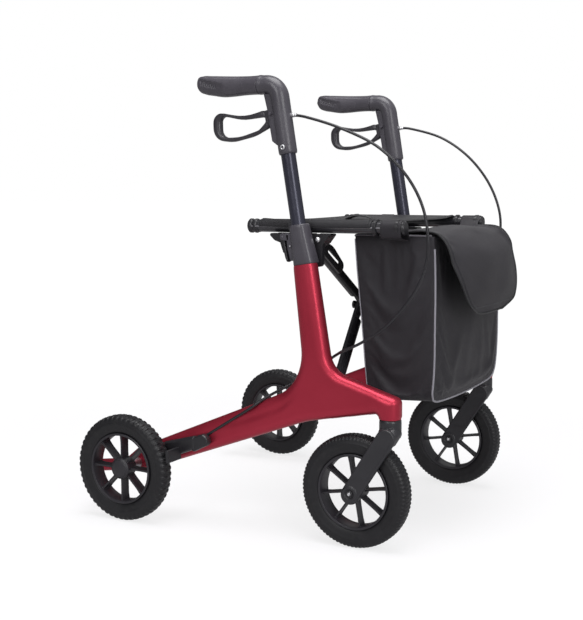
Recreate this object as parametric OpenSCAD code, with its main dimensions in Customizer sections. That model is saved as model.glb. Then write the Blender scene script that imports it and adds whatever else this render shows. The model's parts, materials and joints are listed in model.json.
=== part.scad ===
// Folding four-wheeled walker (rollator) with a sling seat, a front bag and loop brakes.
// Origin: on the floor, midway along the length and on the centre plane.
// +X points forward, +Y to the user's left and +Z up. All sizes are in millimetres.
// Every paired part is drawn for the right side (negative Y) and mirrored for the left.

/* [Wheels] */
// Distance between the rear and the front axles
wheelbase = 452; // [446:1:456]
// Outside diameter of all four tyres
wheel_d = 200; // [198:1:201]
// Width of a rear tyre
rear_tyre_w = 32; // [28:1:33]
// Width of a front tyre
front_tyre_w = 36; // [32:1:37]
// Number of spokes in each wheel
spoke_count = 8; // [6:1:10]
// Distance of the rear wheel's middle plane from the centre plane
rear_wheel_y = 300; // [300:1:304]

/* [Frame] */
// Distance of the side frame's middle plane from the centre plane
frame_y = 241; // [240:1:242]
// Thickness of the side frame
frame_t = 34; // [32:1:35]
// Distance behind the front axle's vertical at which the fork swivels
trail = 63; // [60:1:64]

/* [Handles] */
// Diameter of the height-adjustable handle tube
tube_d = 26; // [24:0.5:26]
// Backward lean of the handle post from the vertical, in degrees
post_lean = 9.5; // [9:0.5:10]
// Number of height settings
height_holes = 8; // [5:1:8]
// Distance between height settings
hole_pitch = 25; // [20:1:25]

/* [Seat and brace] */
// Diameter of a seat rail
rail_d = 22; // [20:1:22]
// Height of the seat rails' centrelines
rail_z = 553; // [552:1:554]
// Distance of each seat rail from the centre plane
rail_y = 200; // [199:1:201]
// Diameter of a cross brace tube
bar_d = 20; // [18:1:20]

/* [Bag] */
// Width of the bag
bag_w = 344; // [330:2:344]
// Thickness of the bag's fabric, with its lining
cloth_t = 3; // [2.5:0.5:4]

/* [Hidden] */
$fn = 64;
gap = 0.05;                       // running and seating clearance between pieces
rear_x = -250;                    // rear axle
front_x = rear_x + wheelbase;     // front axle at rest
stem_x = front_x + trail;         // swivel axis of the front forks
wheel_r = wheel_d / 2;
rim_r = 66;                       // outside of the rims, inside of the tyres
axle_r = 4;
frame_out = -frame_y - frame_t / 2;
frame_in = -frame_y + frame_t / 2;
boss_z = 232;                     // underside of the swivel boss
// The handle post: its foot is the top of the side frame
post_x = 97.8;
post_y = -237;
post_z = 488;
post_off = 4;                     // the frame and sleeve stand this far ahead of the tube
sleeve_h = 70;
body_low = 190;                   // underside of the handle body above the post's foot
tube_r = tube_d / 2;
tube_low = -158;
tube_high = 246;
// Handle body and grip
grip_z = 800;
grip_len = 115;
pivot_x = 37;                     // brake lever pivot
pivot_z = 749;
cable_z = 746;                    // where the cable leaves the handle body
cable_in_z = 333;                 // where it enters the side frame
cable_r = 2.5;
// Cross brace: half-lapped tubes that lean forward towards their feet
hinge_y = 207;
hinge_z = 234;
brace_slope = (rail_z - hinge_z) / (hinge_y + rail_y);
brace_lean = 0.18;                // forward shift for each unit towards the foot
brace_x = 101;
brace_z = hinge_z + hinge_y * brace_slope;
bar_r = bar_d / 2;
bar_off = 4;                      // each tube's distance from the brace's middle plane
rail_r = rail_d / 2;
rail_rear = -28;
rail_front = 264;
ring_r = 14;
pocket_r = rail_r + 3;
link_x = 101.5;
link_y = -198;
link_z = 526;
seat_rear = -10;
seat_front = 213;
// Bag
bag_rear_top = 163;
bag_rear_low = 191;
bag_front = 314;
bag_low = 250;
bag_high = 534;
flap_x = 218;                     // hinge line of the flap
flap_z = 541;

// ---------- Drawing helpers ----------

// A closed outline through [x, y, radius] corners, each corner rounded by its radius
function unit(v) = v / norm(v);
function corner_arc(a, b, c) =
  let (
    p = [b.x, b.y],
    u = unit([a.x, a.y] - p),
    v = unit([c.x, c.y] - p),
    half = acos(max(-1, min(1, u * v))) / 2,
    mid = unit(u + v),
    centre = p + mid * b[2] / sin(half),
    side = sign(u.x * v.y - u.y * v.x),
    steps = max(2, ceil((90 - half) / 6))
  )
  b[2] == 0 || half > 89.5 ? [p] : [
    for (i = [0:steps])
      let (turn = side * (90 - half) * (1 - 2 * i / steps))
      centre - b[2] * [
        mid.x * cos(turn) - mid.y * sin(turn),
        mid.x * sin(turn) + mid.y * cos(turn)
      ]
  ];
function rounded(corners) = let (n = len(corners)) [
  for (i = [0:n - 1])
    each corner_arc(corners[(i + n - 1) % n], corners[i], corners[(i + 1) % n])
];

// Extrudes an outline drawn in X and Z between two Y planes
module in_xz(y_from, y_to) {
  translate([0, y_to, 0])
    rotate([90, 0, 0])
      linear_extrude(y_to - y_from) children();
}

// A plate in X and Z whose rim steps in by bevel on both faces
module soft_plate(corners, y_from, y_to, bevel) {
  in_xz(y_from + bevel, y_to - bevel) polygon(rounded(corners));
  in_xz(y_from, y_to) offset(delta = -bevel) polygon(rounded(corners));
}

// Solid of revolution about a line along Y, from [radius, y] points
module about_y(x, z, profile) {
  translate([x, 0, z])
    rotate([-90, 0, 0]) rotate_extrude() polygon(profile);
}

module rod_y(x, z, r, y_from, y_to) {
  translate([x, y_from, z])
    rotate([-90, 0, 0]) cylinder(r = r, h = y_to - y_from);
}

module rod_x(y, z, r, x_from, x_to) {
  translate([x_from, y, z])
    rotate([0, 90, 0]) cylinder(r = r, h = x_to - x_from);
}

// Places children on the leaning handle post, with z along the tube
module on_post() {
  translate([post_x, post_y, post_z]) rotate([0, -post_lean, 0]) children();
}

module mirrored() {
  mirror([0, 1, 0]) children();
}

// A smooth curve through way points, by cubic Hermite pieces
function tangent(p, i) = (p[min(i + 1, len(p) - 1)] - p[max(i - 1, 0)]) / 2;
function hermite(a, ta, b, tb, t) =
  a * (2 * t ^ 3 - 3 * t ^ 2 + 1) + ta * (t ^ 3 - 2 * t ^ 2 + t)
  + b * (3 * t ^ 2 - 2 * t ^ 3) + tb * (t ^ 3 - t ^ 2);
function smooth(p, steps) = [
  for (i = [0:len(p) - 2])
    for (s = [0:steps - 1])
      hermite(p[i], tangent(p, i), p[i + 1], tangent(p, i + 1), s / steps),
  p[len(p) - 1]
];

// A round cord swept along a path that keeps nearly to an X-Z plane
module cord(path, r, sides = 8) {
  n = len(path);
  rings = [
    for (i = [0:n - 1])
      let (
        along = unit(path[min(i + 1, n - 1)] - path[max(i - 1, 0)]),
        across = unit(cross(along, [0, 1, 0])),
        up = cross(across, along)
      )
      for (k = [0:sides - 1])
        path[i] + r * (cos(360 * k / sides) * across + sin(360 * k / sides) * up)
  ];
  walls = [
    for (i = [0:n - 2])
      for (k = [0:sides - 1])
        let (a = i * sides + k, b = i * sides + (k + 1) % sides)
        [a, b, b + sides, a + sides]
  ];
  first = [for (k = [sides - 1:-1:0]) k];
  last = [for (k = [0:sides - 1]) (n - 1) * sides + k];
  polyhedron(rings, concat([first], walls, [last]), convexity = 6);
}

// ---------- Side frame, sleeve and hinge ----------

// Outline of the one-piece side frame in X and Z
frame_outline = [
  [80.4, 485.1, 0],
  [123.1, 492.2, 0],
  [154.5, 306, 44],
  [stem_x + 19, 267.5, 13],
  [stem_x + 19, boss_z, 0],
  [stem_x - 19, boss_z, 0],
  [stem_x - 20, 239, 6],
  [108, 213, 200],
  [rear_x + 15, 86, 150],
  [-357, 67, 9],
  [-357, 90, 9],
  [rear_x - 38, 100, 40],
  [rear_x - 8, 125, 24],
  [104, 278.5, 84]
];

module side_frame() {
  color("firebrick")
    difference() {
      union() {
        soft_plate(frame_outline, frame_out, frame_in, 5);
        translate([stem_x, -frame_y, boss_z]) cylinder(r = 19, h = 30);
      }
      on_post() translate([0, 0, tube_low - 90]) cylinder(r = tube_r + 1, h = 300);
      translate([stem_x, -frame_y, boss_z - 1]) cylinder(r = 13, h = 29);
      rod_y(rear_x, 100, axle_r + 1 + gap, frame_out - 1, frame_in + 1);
      rod_x(post_y, cable_in_z, cable_r + 0.6, 130, 180);
    }
}

// Pivot of the clamp lever, in the housing at the back of the sleeve
clamp_x = 58.5;
clamp_z = 535;
module sleeve() {
  color("dimgray")
    difference() {
      union() {
        on_post()
          translate([post_off, 0, gap])
            linear_extrude(sleeve_h)
              polygon(rounded([
                [-18, -17.5, 11], [18, -17.5, 11], [18, 17.5, 11], [-18, 17.5, 11]
              ]));
        in_xz(post_y - 10.5, post_y + 10.5)
          polygon(rounded([
            [65, 541, 2], [88, 545, 0], [92, 498, 0], [74, 493, 3], [68.2, 516, 60]
          ]));
        for (y = [post_y - 10.5, post_y + 8.3])
          in_xz(y, y + 2.2)
            polygon(rounded([
              [clamp_x - 4.5, 538, 3], [clamp_x - 1, 541, 3], [70, 541, 0], [70, 529, 0],
              [clamp_x - 3, 530.5, 3]
            ]));
        rod_y(clamp_x, clamp_z, 2, post_y - 9, post_y + 9);
      }
      on_post() translate([0, 0, -1]) cylinder(r = tube_r + gap, h = sleeve_h + 3);
    }
}

// Curved lever that opens rearwards from its pivot at the top
module clamp_lever() {
  color("darkslategray")
    difference() {
      in_xz(post_y - 8.2, post_y + 8.2)
        polygon(rounded([
          [clamp_x - 4.5, 537, 3], [clamp_x, 539.8, 4], [clamp_x + 4.4, 537, 3],
          [clamp_x + 4.6, 530, 20], [66, 515, 60], [70.3, 493, 2], [66.5, 490.5, 2.5],
          [62.8, 498, 20], [59.7, 509, 60], [56, 520, 30], [52.6, 530, 8]
        ]));
      rod_y(clamp_x, clamp_z, 2 + gap, post_y - 9, post_y + 9);
    }
}

// The yoke on the side frame's inner face that carries a cross brace foot
module hinge_block() {
  foot_x = brace_x + hinge_y * brace_lean;
  color("dimgray") {
    difference() {
      translate([foot_x - 21.5, frame_in + gap, hinge_z - 12]) cube([43, 30, 23]);
      translate([foot_x - 17, frame_in + 5, hinge_z - 25]) cube([34, 40, 50]);
    }
    rod_x(-hinge_y, hinge_z, 4, foot_x - 19, foot_x + 19);
  }
}

// The cradle on the sleeve's inner face on which the seat rail rests
module saddle() {
  wall_y = -218.4;
  color([0.12, 0.12, 0.13])
    difference() {
      union() {
        in_xz(wall_y, wall_y + 10)
          polygon(rounded([
            [14, 541, 3], [139, 541, 4], [124, 524, 10], [122, 484, 6],
            [104, 482, 6], [92, 508, 20], [28, 528, 8]
          ]));
        in_xz(wall_y + 5, wall_y + 31)
          polygon(rounded([
            [16, 541, 2], [137, 541, 2], [124, 524, 6], [112, 517, 4],
            [88, 517, 4], [78, 528, 8], [30, 530, 8]
          ]));
        rod_x(link_y, link_z, 3, link_x - 10, link_x + 10);
      }
      rod_x(-rail_y, rail_z, pocket_r + 0.5, 0, 160);
      // gaps for the head of the brace and for the guide link
      translate([46, wall_y + 11, 510]) cube([36, 30, 40]);
      translate([46, wall_y - 1, rail_z - ring_r - 2]) cube([36, 40, 20]);
      translate([link_x - 4.4, wall_y + 11, 510]) cube([8.8, 30, 40]);
      on_post() translate([post_off, 0, 0]) cylinder(r = 18.3, h = sleeve_h + 8);
    }
}

module guide_link() {
  color([0.1, 0.1, 0.11])
    difference() {
      translate([link_x - 2, 0, 0])
        rotate([90, 0, 90])
          linear_extrude(4)
            difference() {
              polygon(rounded([
                [link_y - 7, link_z - 6, 4], [link_y - 5, link_z + 8, 4],
                [link_y + 62, 517, 60], [link_y + 112, 478, 9],
                [link_y + 94, 462, 8], [link_y + 30, 500, 60]
              ]));
              hull() {
                translate([link_y + 46, 507]) circle(r = 3.6);
                translate([link_y + 88, 484]) circle(r = 3.6);
              }
            }
      rod_x(link_y, link_z, 3 + gap, link_x - 5, link_x + 5);
    }
}

// ---------- Handle ----------

module handle_tube() {
  color([0.19, 0.19, 0.23])
    difference() {
      on_post()
        difference() {
          translate([0, 0, tube_low]) cylinder(r = tube_r, h = tube_high - tube_low);
          translate([0, 0, tube_low - 1])
            cylinder(r = tube_r - 1.5, h = tube_high - tube_low + 2);
          for (i = [0:height_holes - 1])
            translate([0, 0, sleeve_h + 105 - i * hole_pitch])
              rotate([0, -90, 0]) cylinder(r = 3, h = 20);
        }
      rod_y(screw_x, screw_z, 2 + gap, post_y - 16, post_y - 8);
    }
}

// Post, elbow and lever housing of the handle body, in X and Z
body_outline = [
  [48.5, 677.5, 1], [83, 681.5, 1], [60, 815.5, 44], [0.3, 815.5, 2],
  [0.3, 784.2, 2], [33, 784.2, 9], [39.5, 735, 30]
];
fin_outline = [
  [55, 700, 1], [55, 782, 1], [18, 786, 2], [31, 707, 3], [43, 696, 3]
];
screw_x = 63;
screw_z = 691;
module handle_body() {
  color("dimgray")
    difference() {
      union() {
        soft_plate(body_outline, post_y - 16.5, post_y + 16.5, 4);
        soft_plate(fin_outline, post_y - 10, post_y + 10, 2);
        rod_x(post_y, grip_z, 11, -grip_len + 14, 10);
      }
      on_post() translate([0, 0, body_low - 5]) cylinder(r = tube_r + gap, h = tube_high - body_low + 6);
      in_xz(post_y - 6.5, post_y + 6.5)
        polygon([[10, 700], [pivot_x + 9, 718], [pivot_x + 13, pivot_z + 12], [14, 774]]);
      rod_y(pivot_x, pivot_z, 2.5 + gap, post_y - 17, post_y + 17);
      rod_x(post_y, cable_z, cable_r + 0.6, 58, 90);
      rod_y(screw_x, screw_z, 2 + gap, post_y - 17, post_y - 5);
      rod_y(screw_x, screw_z, 4.4, post_y - 17, post_y - 13);
    }
}

module handle_screws() {
  color("silver") {
    rod_y(screw_x, screw_z, 2, post_y - 14, post_y - 9);
    rod_y(screw_x, screw_z, 4.2, post_y - 16.9, post_y - 13.3);
    rod_y(pivot_x, pivot_z, 2.5, post_y - 14, post_y + 14);
  }
}

// Palm grip: thick in the middle of its length and slim at the elbow
grip_stations = [[-0.1, 0, 15.8], [-38, 0.5, 16.6], [-72, 1, 17], [-106, 4, 14], [-grip_len, 6, 8]];
module grip() {
  color([0.2, 0.2, 0.21])
    difference() {
      for (i = [0:len(grip_stations) - 2])
        hull()
          for (s = [grip_stations[i], grip_stations[i + 1]])
            rod_x(post_y, grip_z + s[1], s[2], s[0] - 0.4, s[0], $fn = 32);
      rod_x(post_y, grip_z, 11 + gap, -grip_len + 14 - gap, 1);
    }
}

module brake_lever() {
  color("dimgray")
    difference() {
      union() {
        in_xz(post_y - 5.5, post_y + 5.5)
          difference() {
            polygon(rounded([
              [-85, 757, 14], [-25, 748, 80], [25, 757, 20], [27, 730, 10],
              [-8, 713, 60], [-56, 702, 50], [-85, 712, 20]
            ]));
            polygon(rounded([
              [-75, 746, 8], [-25, 740, 80], [20, 746, 5], [15, 731, 10],
              [-10, 719, 60], [-50, 708, 50], [-75, 717, 14]
            ]));
          }
        in_xz(post_y - 5.5, post_y + 5.5)
          polygon(rounded([[19, 754, 2], [39, 756, 4], [43, 744, 4], [24, 731, 3]]));
      }
      rod_y(pivot_x, pivot_z, 2.5 + gap, post_y - 7, post_y + 7);
    }
}

// Outer cable: a free loop from the handle to the frame, and a run down the rear arm
near_loop = [
  [66, cable_z], [100, 742], [165, 722], [234, 690], [285, 644], [316, 592],
  [327, 536], [321, 484], [296, 436], [251, 384], [205, 351], [165, 335], [142, cable_in_z]
];
far_loop = [
  [66, cable_z], [100, 744], [165, 725], [220, 690], [262, 644], [288, 594],
  [297, 545], [288, 486], [264, 434], [228, 386], [192, 352], [162, 335], [142, cable_in_z]
];
module brake_cable(loop) {
  run_y = frame_out - cable_r - 0.4;
  color([0.13, 0.13, 0.14]) {
    cord(smooth([for (p = loop) [p.x, post_y, p.y]], 3), cable_r);
    cord(smooth([
      [99, run_y, 289], [62, run_y, 264], [8, run_y, 237],
      [-41, run_y, 206], [-72, run_y - 4, 184]
    ], 3), cable_r);
  }
}

// ---------- Rear wheel and brake ----------

shoe_x = -158;
shoe_z = 131;
module brake_housing() {
  color([0.16, 0.17, 0.17])
    difference() {
      union() {
        soft_plate([
          [shoe_x - 16, 133, 8], [shoe_x - 9, 118, 9], [-84, 149, 10],
          [-66, 170, 8], [-78, 187, 9], [-100, 178, 10], [shoe_x - 8, 148, 8]
        ], frame_out - 23, frame_out - gap, 3);
      }
      // slot for the shoe arm, open towards the tyre
      translate([shoe_x - 20, frame_out - 24, 100]) cube([44, 12, 60]);
      rod_y(shoe_x, shoe_z, 3 + gap, frame_out - 13, frame_out - 3);
      translate([-68, frame_out - 6, 186]) rotate([0, -120, 0]) cylinder(r = cable_r + 0.6, h = 26, center = true);
    }
}

module brake_shoe() {
  color("gray") {
    rod_y(shoe_x, shoe_z, 3, frame_out - 14, frame_out - 4);
    in_xz(frame_out - 22, frame_out - 13)
      polygon(rounded([
        [shoe_x - 6, 138, 4], [shoe_x + 12, 146, 2], [shoe_x + 14, 125, 2], [shoe_x - 5, 123, 4]
      ]));
    in_xz(frame_out - 54, frame_out - 13.5)
      polygon(rounded([
        [shoe_x + 9, 145, 2], [shoe_x + 15, 145, 2], [shoe_x + 17, 122, 2], [shoe_x + 11, 121, 2]
      ]));
  }
}

module rear_axle() {
  color("silver")
    about_y(rear_x, 100, [
      [0, frame_in + 6], [8, frame_in + 6], [8, frame_in + gap], [axle_r + 1, frame_in + gap],
      [axle_r + 1, frame_out - gap], [10, frame_out - gap], [10, -rear_wheel_y + 17],
      [axle_r + 1, -rear_wheel_y + 17], [axle_r + 1, -rear_wheel_y - 14], [0, -rear_wheel_y - 14]
    ]);
}

// A wheel centre: hub, spokes and rim, turning about a line along Y
module wheel_centre(x, y, hub_r, hub_w, rim_w, spoke_w, spoke_t, bore_r, phase = 0) {
  difference() {
    union() {
      about_y(x, 100, [
        [0, y - hub_w / 2], [hub_r, y - hub_w / 2], [hub_r, y + hub_w / 2], [0, y + hub_w / 2]
      ]);
      about_y(x, 100, [
        [rim_r, y - rim_w / 2], [rim_r, y + rim_w / 2], [rim_r - 3, y + rim_w / 2],
        [rim_r - 6, y], [rim_r - 3, y - rim_w / 2]
      ]);
      for (i = [0:spoke_count - 1])
        translate([x, y, 100])
          rotate([0, phase + i * 360 / spoke_count, 0])
            translate([-spoke_w / 2, -spoke_t / 2, hub_r - 3])
              cube([spoke_w, spoke_t, rim_r - hub_r]);
    }
    rod_y(x, 100, bore_r, y - hub_w, y + hub_w);
  }
}

module rear_wheel() {
  color("dimgray")
    wheel_centre(rear_x, -rear_wheel_y, 19, 26, 28, 10, 16, axle_r + 1 + gap);
}

module hub_cap() {
  out_y = -rear_wheel_y - 13 - gap;
  color([0.25, 0.25, 0.26])
    difference() {
      about_y(rear_x, 100, [
        [0, out_y], [21, out_y], [21, out_y - 1.5], [19, out_y - 3], [0, out_y - 3.4]
      ]);
      rod_y(rear_x, 100, axle_r + 2, out_y - 1.6, out_y + 1);
    }
}

// Tyre section: flat seat on the rim, swelling side walls and a crowned tread
module tyre(x, y, w) {
  about_y(x, 100, [
    [rim_r + gap, y - w * 0.38], [rim_r + 4, y - w * 0.44], [rim_r + 17, y - w / 2],
    [wheel_r - 9, y - w / 2], [wheel_r - 3, y - w * 0.41], [wheel_r, y - w * 0.2],
    [wheel_r, y + w * 0.2], [wheel_r - 3, y + w * 0.41], [wheel_r - 9, y + w / 2],
    [rim_r + 17, y + w / 2], [rim_r + 4, y + w * 0.44], [rim_r + gap, y + w * 0.38]
  ]);
}

module rear_tyre() {
  color([0.18, 0.18, 0.18]) tyre(rear_x, -rear_wheel_y, rear_tyre_w);
}

// ---------- Front fork and wheel ----------

leg_t = 8;
leg_in = front_tyre_w / 2 + 2;
// One-legged fork: the leg runs down the right-hand side of either front wheel
module fork() {
  leg = [
    [front_x - 24, 92, 17], [front_x + 5, 74, 17], [stem_x + 26, 207, 17], [stem_x - 4, 225, 17]
  ];
  color("dimgray")
    difference() {
      union() {
        in_xz(-frame_y - leg_in - leg_t, -frame_y - leg_in) polygon(rounded(leg));
        translate([stem_x, -frame_y, 196]) cylinder(r = 19, h = 35.3);
        in_xz(-frame_y - leg_in - 1, -frame_y + 10)
          polygon(rounded([
            [stem_x - 15, 220, 8], [stem_x + 17, 222, 8], [stem_x + 22, 208, 8],
            [stem_x + 8, 184, 4], [stem_x - 16, 200, 3]
          ]));
      }
      translate([stem_x, -frame_y, 180]) cylinder(r = 5 + gap, h = 60);
      rod_y(front_x, 100, axle_r + gap, -frame_y - 40, -frame_y + 40);
      rod_y(front_x, 100, 6.2, -frame_y - 40, -frame_y - leg_in - 3);
      // wheel well, so that the crown clears the tyre
      rod_y(front_x, 100, wheel_r + 2.5, -frame_y - leg_in, -frame_y + 40);
    }
}

module swivel_stem() {
  color("silver")
    translate([stem_x, -frame_y, 0])
      rotate_extrude()
        polygon([[0, 200], [5, 200], [5, 257], [7.6, 257], [7.6, 259.4], [0, 259.4]]);
}

module swivel_bearings() {
  color("lightsteelblue")
    for (z = [boss_z, 249])
      translate([stem_x, -frame_y, z])
        difference() {
          cylinder(r = 13 - gap, h = 7.5);
          translate([0, 0, -1]) cylinder(r = 5 + gap, h = 10);
        }
}

module front_axle() {
  inner = -frame_y + 19;
  outer = -frame_y - leg_in - 3;
  color("silver")
    about_y(front_x, 100, [
      [0, inner + 5], [4, inner + 5], [7, inner + 3], [7, inner + gap], [axle_r, inner + gap],
      [axle_r, outer - gap], [6, outer - gap], [6, outer - 3.2], [0, outer - 3.2]
    ]);
}

module front_wheel() {
  color("dimgray")
    wheel_centre(front_x, -frame_y, 17, 38, 30, 5, 14, axle_r + gap, phase = -10);
}

module front_tyre() {
  color([0.18, 0.18, 0.18]) tyre(front_x, -frame_y, front_tyre_w);
}

// Screw heads on the saddle and on the side of the clamp housing
module frame_screws() {
  lug = post_y - 10.5 - gap;
  color("silver") {
    about_y(114.5, 531, [[0, -218.5], [5, -218.5], [4.4, -221], [2.4, -222.4], [0, -222.6]]);
    about_y(75, 520, [[0, lug], [2.6, lug], [2.2, lug - 1.1], [0, lug - 1.3]]);
  }
}

// ---------- Seat rails and cross brace ----------

module seat_rail() {
  color([0.16, 0.16, 0.17])
    difference() {
      rod_x(-rail_y, rail_z, rail_r, rail_rear, rail_front);
      rod_x(-rail_y, rail_z, rail_r - 2, rail_rear - 1, rail_front + 1);
    }
}

// End caps with grip rings, and the clips either side of the bag's hanging loop
module rail_fittings() {
  color([0.14, 0.14, 0.15])
    translate([0, -rail_y, rail_z]) {
      rotate([0, 90, 0])
        rotate_extrude()
          polygon([
            [0, -33], [11, -33], [13, -31], [13, -27], [11.5, -25], [11.5, -22], [13, -20],
            [13, -17], [11.5, -15], [11.5, -11.5], [rail_r + gap, -11.5],
            [rail_r + gap, rail_rear - gap], [0, rail_rear - gap]
          ]);
      rotate([0, 90, 0])
        rotate_extrude()
          polygon([
            [0, rail_front + gap], [rail_r + gap, rail_front + gap], [rail_r + gap, 263.2],
            [12.5, 263.2], [12.5, 270], [10, 273], [0, 273]
          ]);
      for (x = [216, 257])
        rotate([0, 90, 0])
          translate([0, 0, x])
            difference() {
              cylinder(r = 14.5, h = 5.5);
              translate([0, 0, -1]) cylinder(r = rail_r + gap, h = 8);
            }
    }
}

// A brace tube from its foot at the right hinge to its head at the left rail
module brace_tube(shift) {
  foot = [brace_x + hinge_y * brace_lean, -hinge_y, hinge_z];
  head = [brace_x - rail_y * brace_lean, rail_y, rail_z];
  dir = head - foot;
  span = norm(dir);
  turn = atan2(dir.y, dir.z);
  lean = asin(dir.x / span);
  difference() {
    union() {
      translate(foot + [shift, 0, 0])
        rotate([-turn, 0, 0])
          rotate([0, lean, 0])
            translate([0, 0, 6]) cylinder(r = bar_r, h = span - 12);
      rod_x(foot.y, foot.z, 9.5, foot.x - 16.8, foot.x + 16.8);
      rod_x(head.y, head.z, ring_r, head.x - 12, head.x + 12);
    }
    rod_x(foot.y, foot.z, 4 + gap, foot.x - 20, foot.x + 20);
    rod_x(head.y, head.z, rail_r + gap, head.x - 20, head.x + 20);
    // half-lap at the crossing, long enough for the folded position
    translate([brace_x, 0, brace_z])
      rotate([-turn, 0, 0])
        translate([shift > 0 ? -60 + 0.15 : -0.15, -14, -44]) cube([60, 28, 88]);
    rod_x(0, brace_z, 4 + gap, brace_x - 40, brace_x + 40);
  }
}

module crossbar_a() {
  color([0.1, 0.1, 0.11]) brace_tube(-bar_off);
}

module crossbar_b() {
  color([0.12, 0.12, 0.13]) mirrored() brace_tube(bar_off);
}

module centre_bolt() {
  color("silver") {
    rod_x(0, brace_z, 4, brace_x - 16.2, brace_x + 16.2);
    rod_x(0, brace_z, 7.5, brace_x - 19.8, brace_x - 15.8);
    rod_x(0, brace_z, 7.5, brace_x + 15.8, brace_x + 19.8);
  }
}

// ---------- Soft goods ----------

// Seat sling: a sheet between the rails with a sleeve around each, and a pull strap
strap_t = 2.5;
module seat_sling() {
  top = rail_z + pocket_r;
  color([0.15, 0.15, 0.16]) {
    difference() {
      union() {
        translate([seat_rear, -rail_y, top - 3])
          cube([seat_front - seat_rear, 2 * rail_y, 3]);
        for (side = [-1, 1])
          rod_x(side * rail_y, rail_z, pocket_r, seat_rear, seat_front);
      }
      for (side = [-1, 1]) {
        rod_x(side * rail_y, rail_z, rail_r + 0.2, seat_rear - 1, seat_front + 1);
        translate([46, side * (rail_y - 2) - 16, rail_z - 20]) cube([38, 32, 40]);
      }
    }
    translate([68, -15, top - 3 - strap_t - gap]) cube([60, 30, strap_t]);
  }
}

// Open-topped bag with a loop of webbing over each rail
module bag_shell(inset, low, high) {
  half = bag_w / 2 - inset;
  levels = [
    [low, bag_rear_low + inset, bag_front - inset, half - 4],
    [low + 110, bag_rear_low - 10 + inset, bag_front + 14 - inset, half],
    [high, bag_rear_top + inset, bag_front - inset, half]
  ];
  hull()
    for (s = levels)
      translate([0, 0, s[0]])
        linear_extrude(1)
          polygon(rounded([
            [s[1], -s[3], 12], [s[2], -s[3], 16], [s[2], s[3], 16], [s[1], s[3], 12]
          ]));
}

loop_rear = 222.5;
loop_w = 33;
module bag() {
  color([0.17, 0.17, 0.18]) {
    difference() {
      bag_shell(0, bag_low, bag_high - 1);
      bag_shell(cloth_t, bag_low + cloth_t, bag_high + 1);
    }
    // the fixed part of the lid, behind the flap's hinge line
    in_xz(-bag_w / 2 + 6, bag_w / 2 - 6)
      polygon([
        [bag_rear_top + 1, 541], [flap_x - 2, 541], [flap_x - 2, 538], [bag_rear_top + 4, 538],
        [bag_rear_top + 4, 520], [bag_rear_top + 1, 520]
      ]);
    for (side = [-1, 1])
      difference() {
        union() {
          rod_x(side * rail_y, rail_z, rail_r + 4, loop_rear, loop_rear + loop_w);
          translate([loop_rear, side * 190 - 22.5, rail_z - 42]) cube([loop_w, 45, 28]);
        }
        rod_x(side * rail_y, rail_z, rail_r + 1, loop_rear - 1, loop_rear + loop_w + 1);
        translate([loop_rear - 1, side * (bag_w / 2 + 25.5) - 22, rail_z - 45])
          cube([loop_w + 2, 44, 28]);
        bag_shell(1, bag_low + cloth_t, bag_high + 1);
        translate([loop_rear - 1, -bag_w / 2 - 0.4, rail_z - 15.4]) cube([loop_w + 2, bag_w + 0.8, 6]);
      }
  }
}

// Flap: from its hinge line over the opening and down the front, with rounded lower corners
flap_outline = [
  [flap_x, flap_z, 0], [306, 543, 50], [340, 528, 26], [358, 455, 60], [349, 393, 1.5],
  [346, 393, 1], [354.6, 455, 60], [337, 526, 24], [306, 539.8, 50], [flap_x, flap_z - 3, 0]
];
module bag_flap() {
  half = bag_w / 2;
  corner = 75;
  color([0.16, 0.16, 0.17])
    intersection() {
      union() {
        in_xz(-half, half) polygon(rounded(flap_outline));
        rod_y(flap_x, flap_z - 1.5, 1.5, -half, half);
      }
      translate([flap_x - 10, 0, 0])
        rotate([90, 0, 90])
          linear_extrude(160)
            polygon(rounded([
              [-half, 560, 0], [half, 560, 0], [half, 392, corner], [-half, 392, corner]
            ]));
    }
}

// ---------- Assembly ----------

side_frame();  // right_side_frame
mirrored() side_frame();  // left_side_frame
sleeve();  // right_sleeve
mirrored() sleeve();  // left_sleeve
clamp_lever();  // right_clamp_lever
mirrored() clamp_lever();  // left_clamp_lever
handle_tube();  // right_handle_tube
mirrored() handle_tube();  // left_handle_tube
handle_body();  // right_handle_body
mirrored() handle_body();  // left_handle_body
handle_screws();  // right_handle_screws
mirrored() handle_screws();  // left_handle_screws
grip();  // right_grip
mirrored() grip();  // left_grip
brake_lever();  // right_brake_lever
mirrored() brake_lever();  // left_brake_lever
brake_cable(near_loop);  // right_brake_cable
mirrored() brake_cable(far_loop);  // left_brake_cable
brake_housing();  // right_brake_housing
mirrored() brake_housing();  // left_brake_housing
brake_shoe();  // right_brake_shoe
mirrored() brake_shoe();  // left_brake_shoe
rear_axle();  // right_rear_axle
mirrored() rear_axle();  // left_rear_axle
rear_wheel();  // right_rear_wheel
mirrored() rear_wheel();  // left_rear_wheel
rear_tyre();  // right_rear_tyre
mirrored() rear_tyre();  // left_rear_tyre
hub_cap();  // right_hub_cap
mirrored() hub_cap();  // left_hub_cap
fork();  // right_fork
translate([0, 2 * frame_y, 0]) fork();  // left_fork
swivel_stem();  // right_swivel_stem
mirrored() swivel_stem();  // left_swivel_stem
swivel_bearings();  // right_swivel_bearings
mirrored() swivel_bearings();  // left_swivel_bearings
front_axle();  // right_front_axle
translate([0, 2 * frame_y, 0]) front_axle();  // left_front_axle
front_wheel();  // right_front_wheel
translate([0, 2 * frame_y, 0]) front_wheel();  // left_front_wheel
front_tyre();  // right_front_tyre
mirrored() front_tyre();  // left_front_tyre
hinge_block();  // right_hinge_block
mirrored() hinge_block();  // left_hinge_block
saddle();  // right_saddle
mirrored() saddle();  // left_saddle
guide_link();  // right_guide_link
mirrored() guide_link();  // left_guide_link
frame_screws();  // right_frame_screws
mirrored() frame_screws();  // left_frame_screws
seat_rail();  // right_seat_rail
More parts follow.
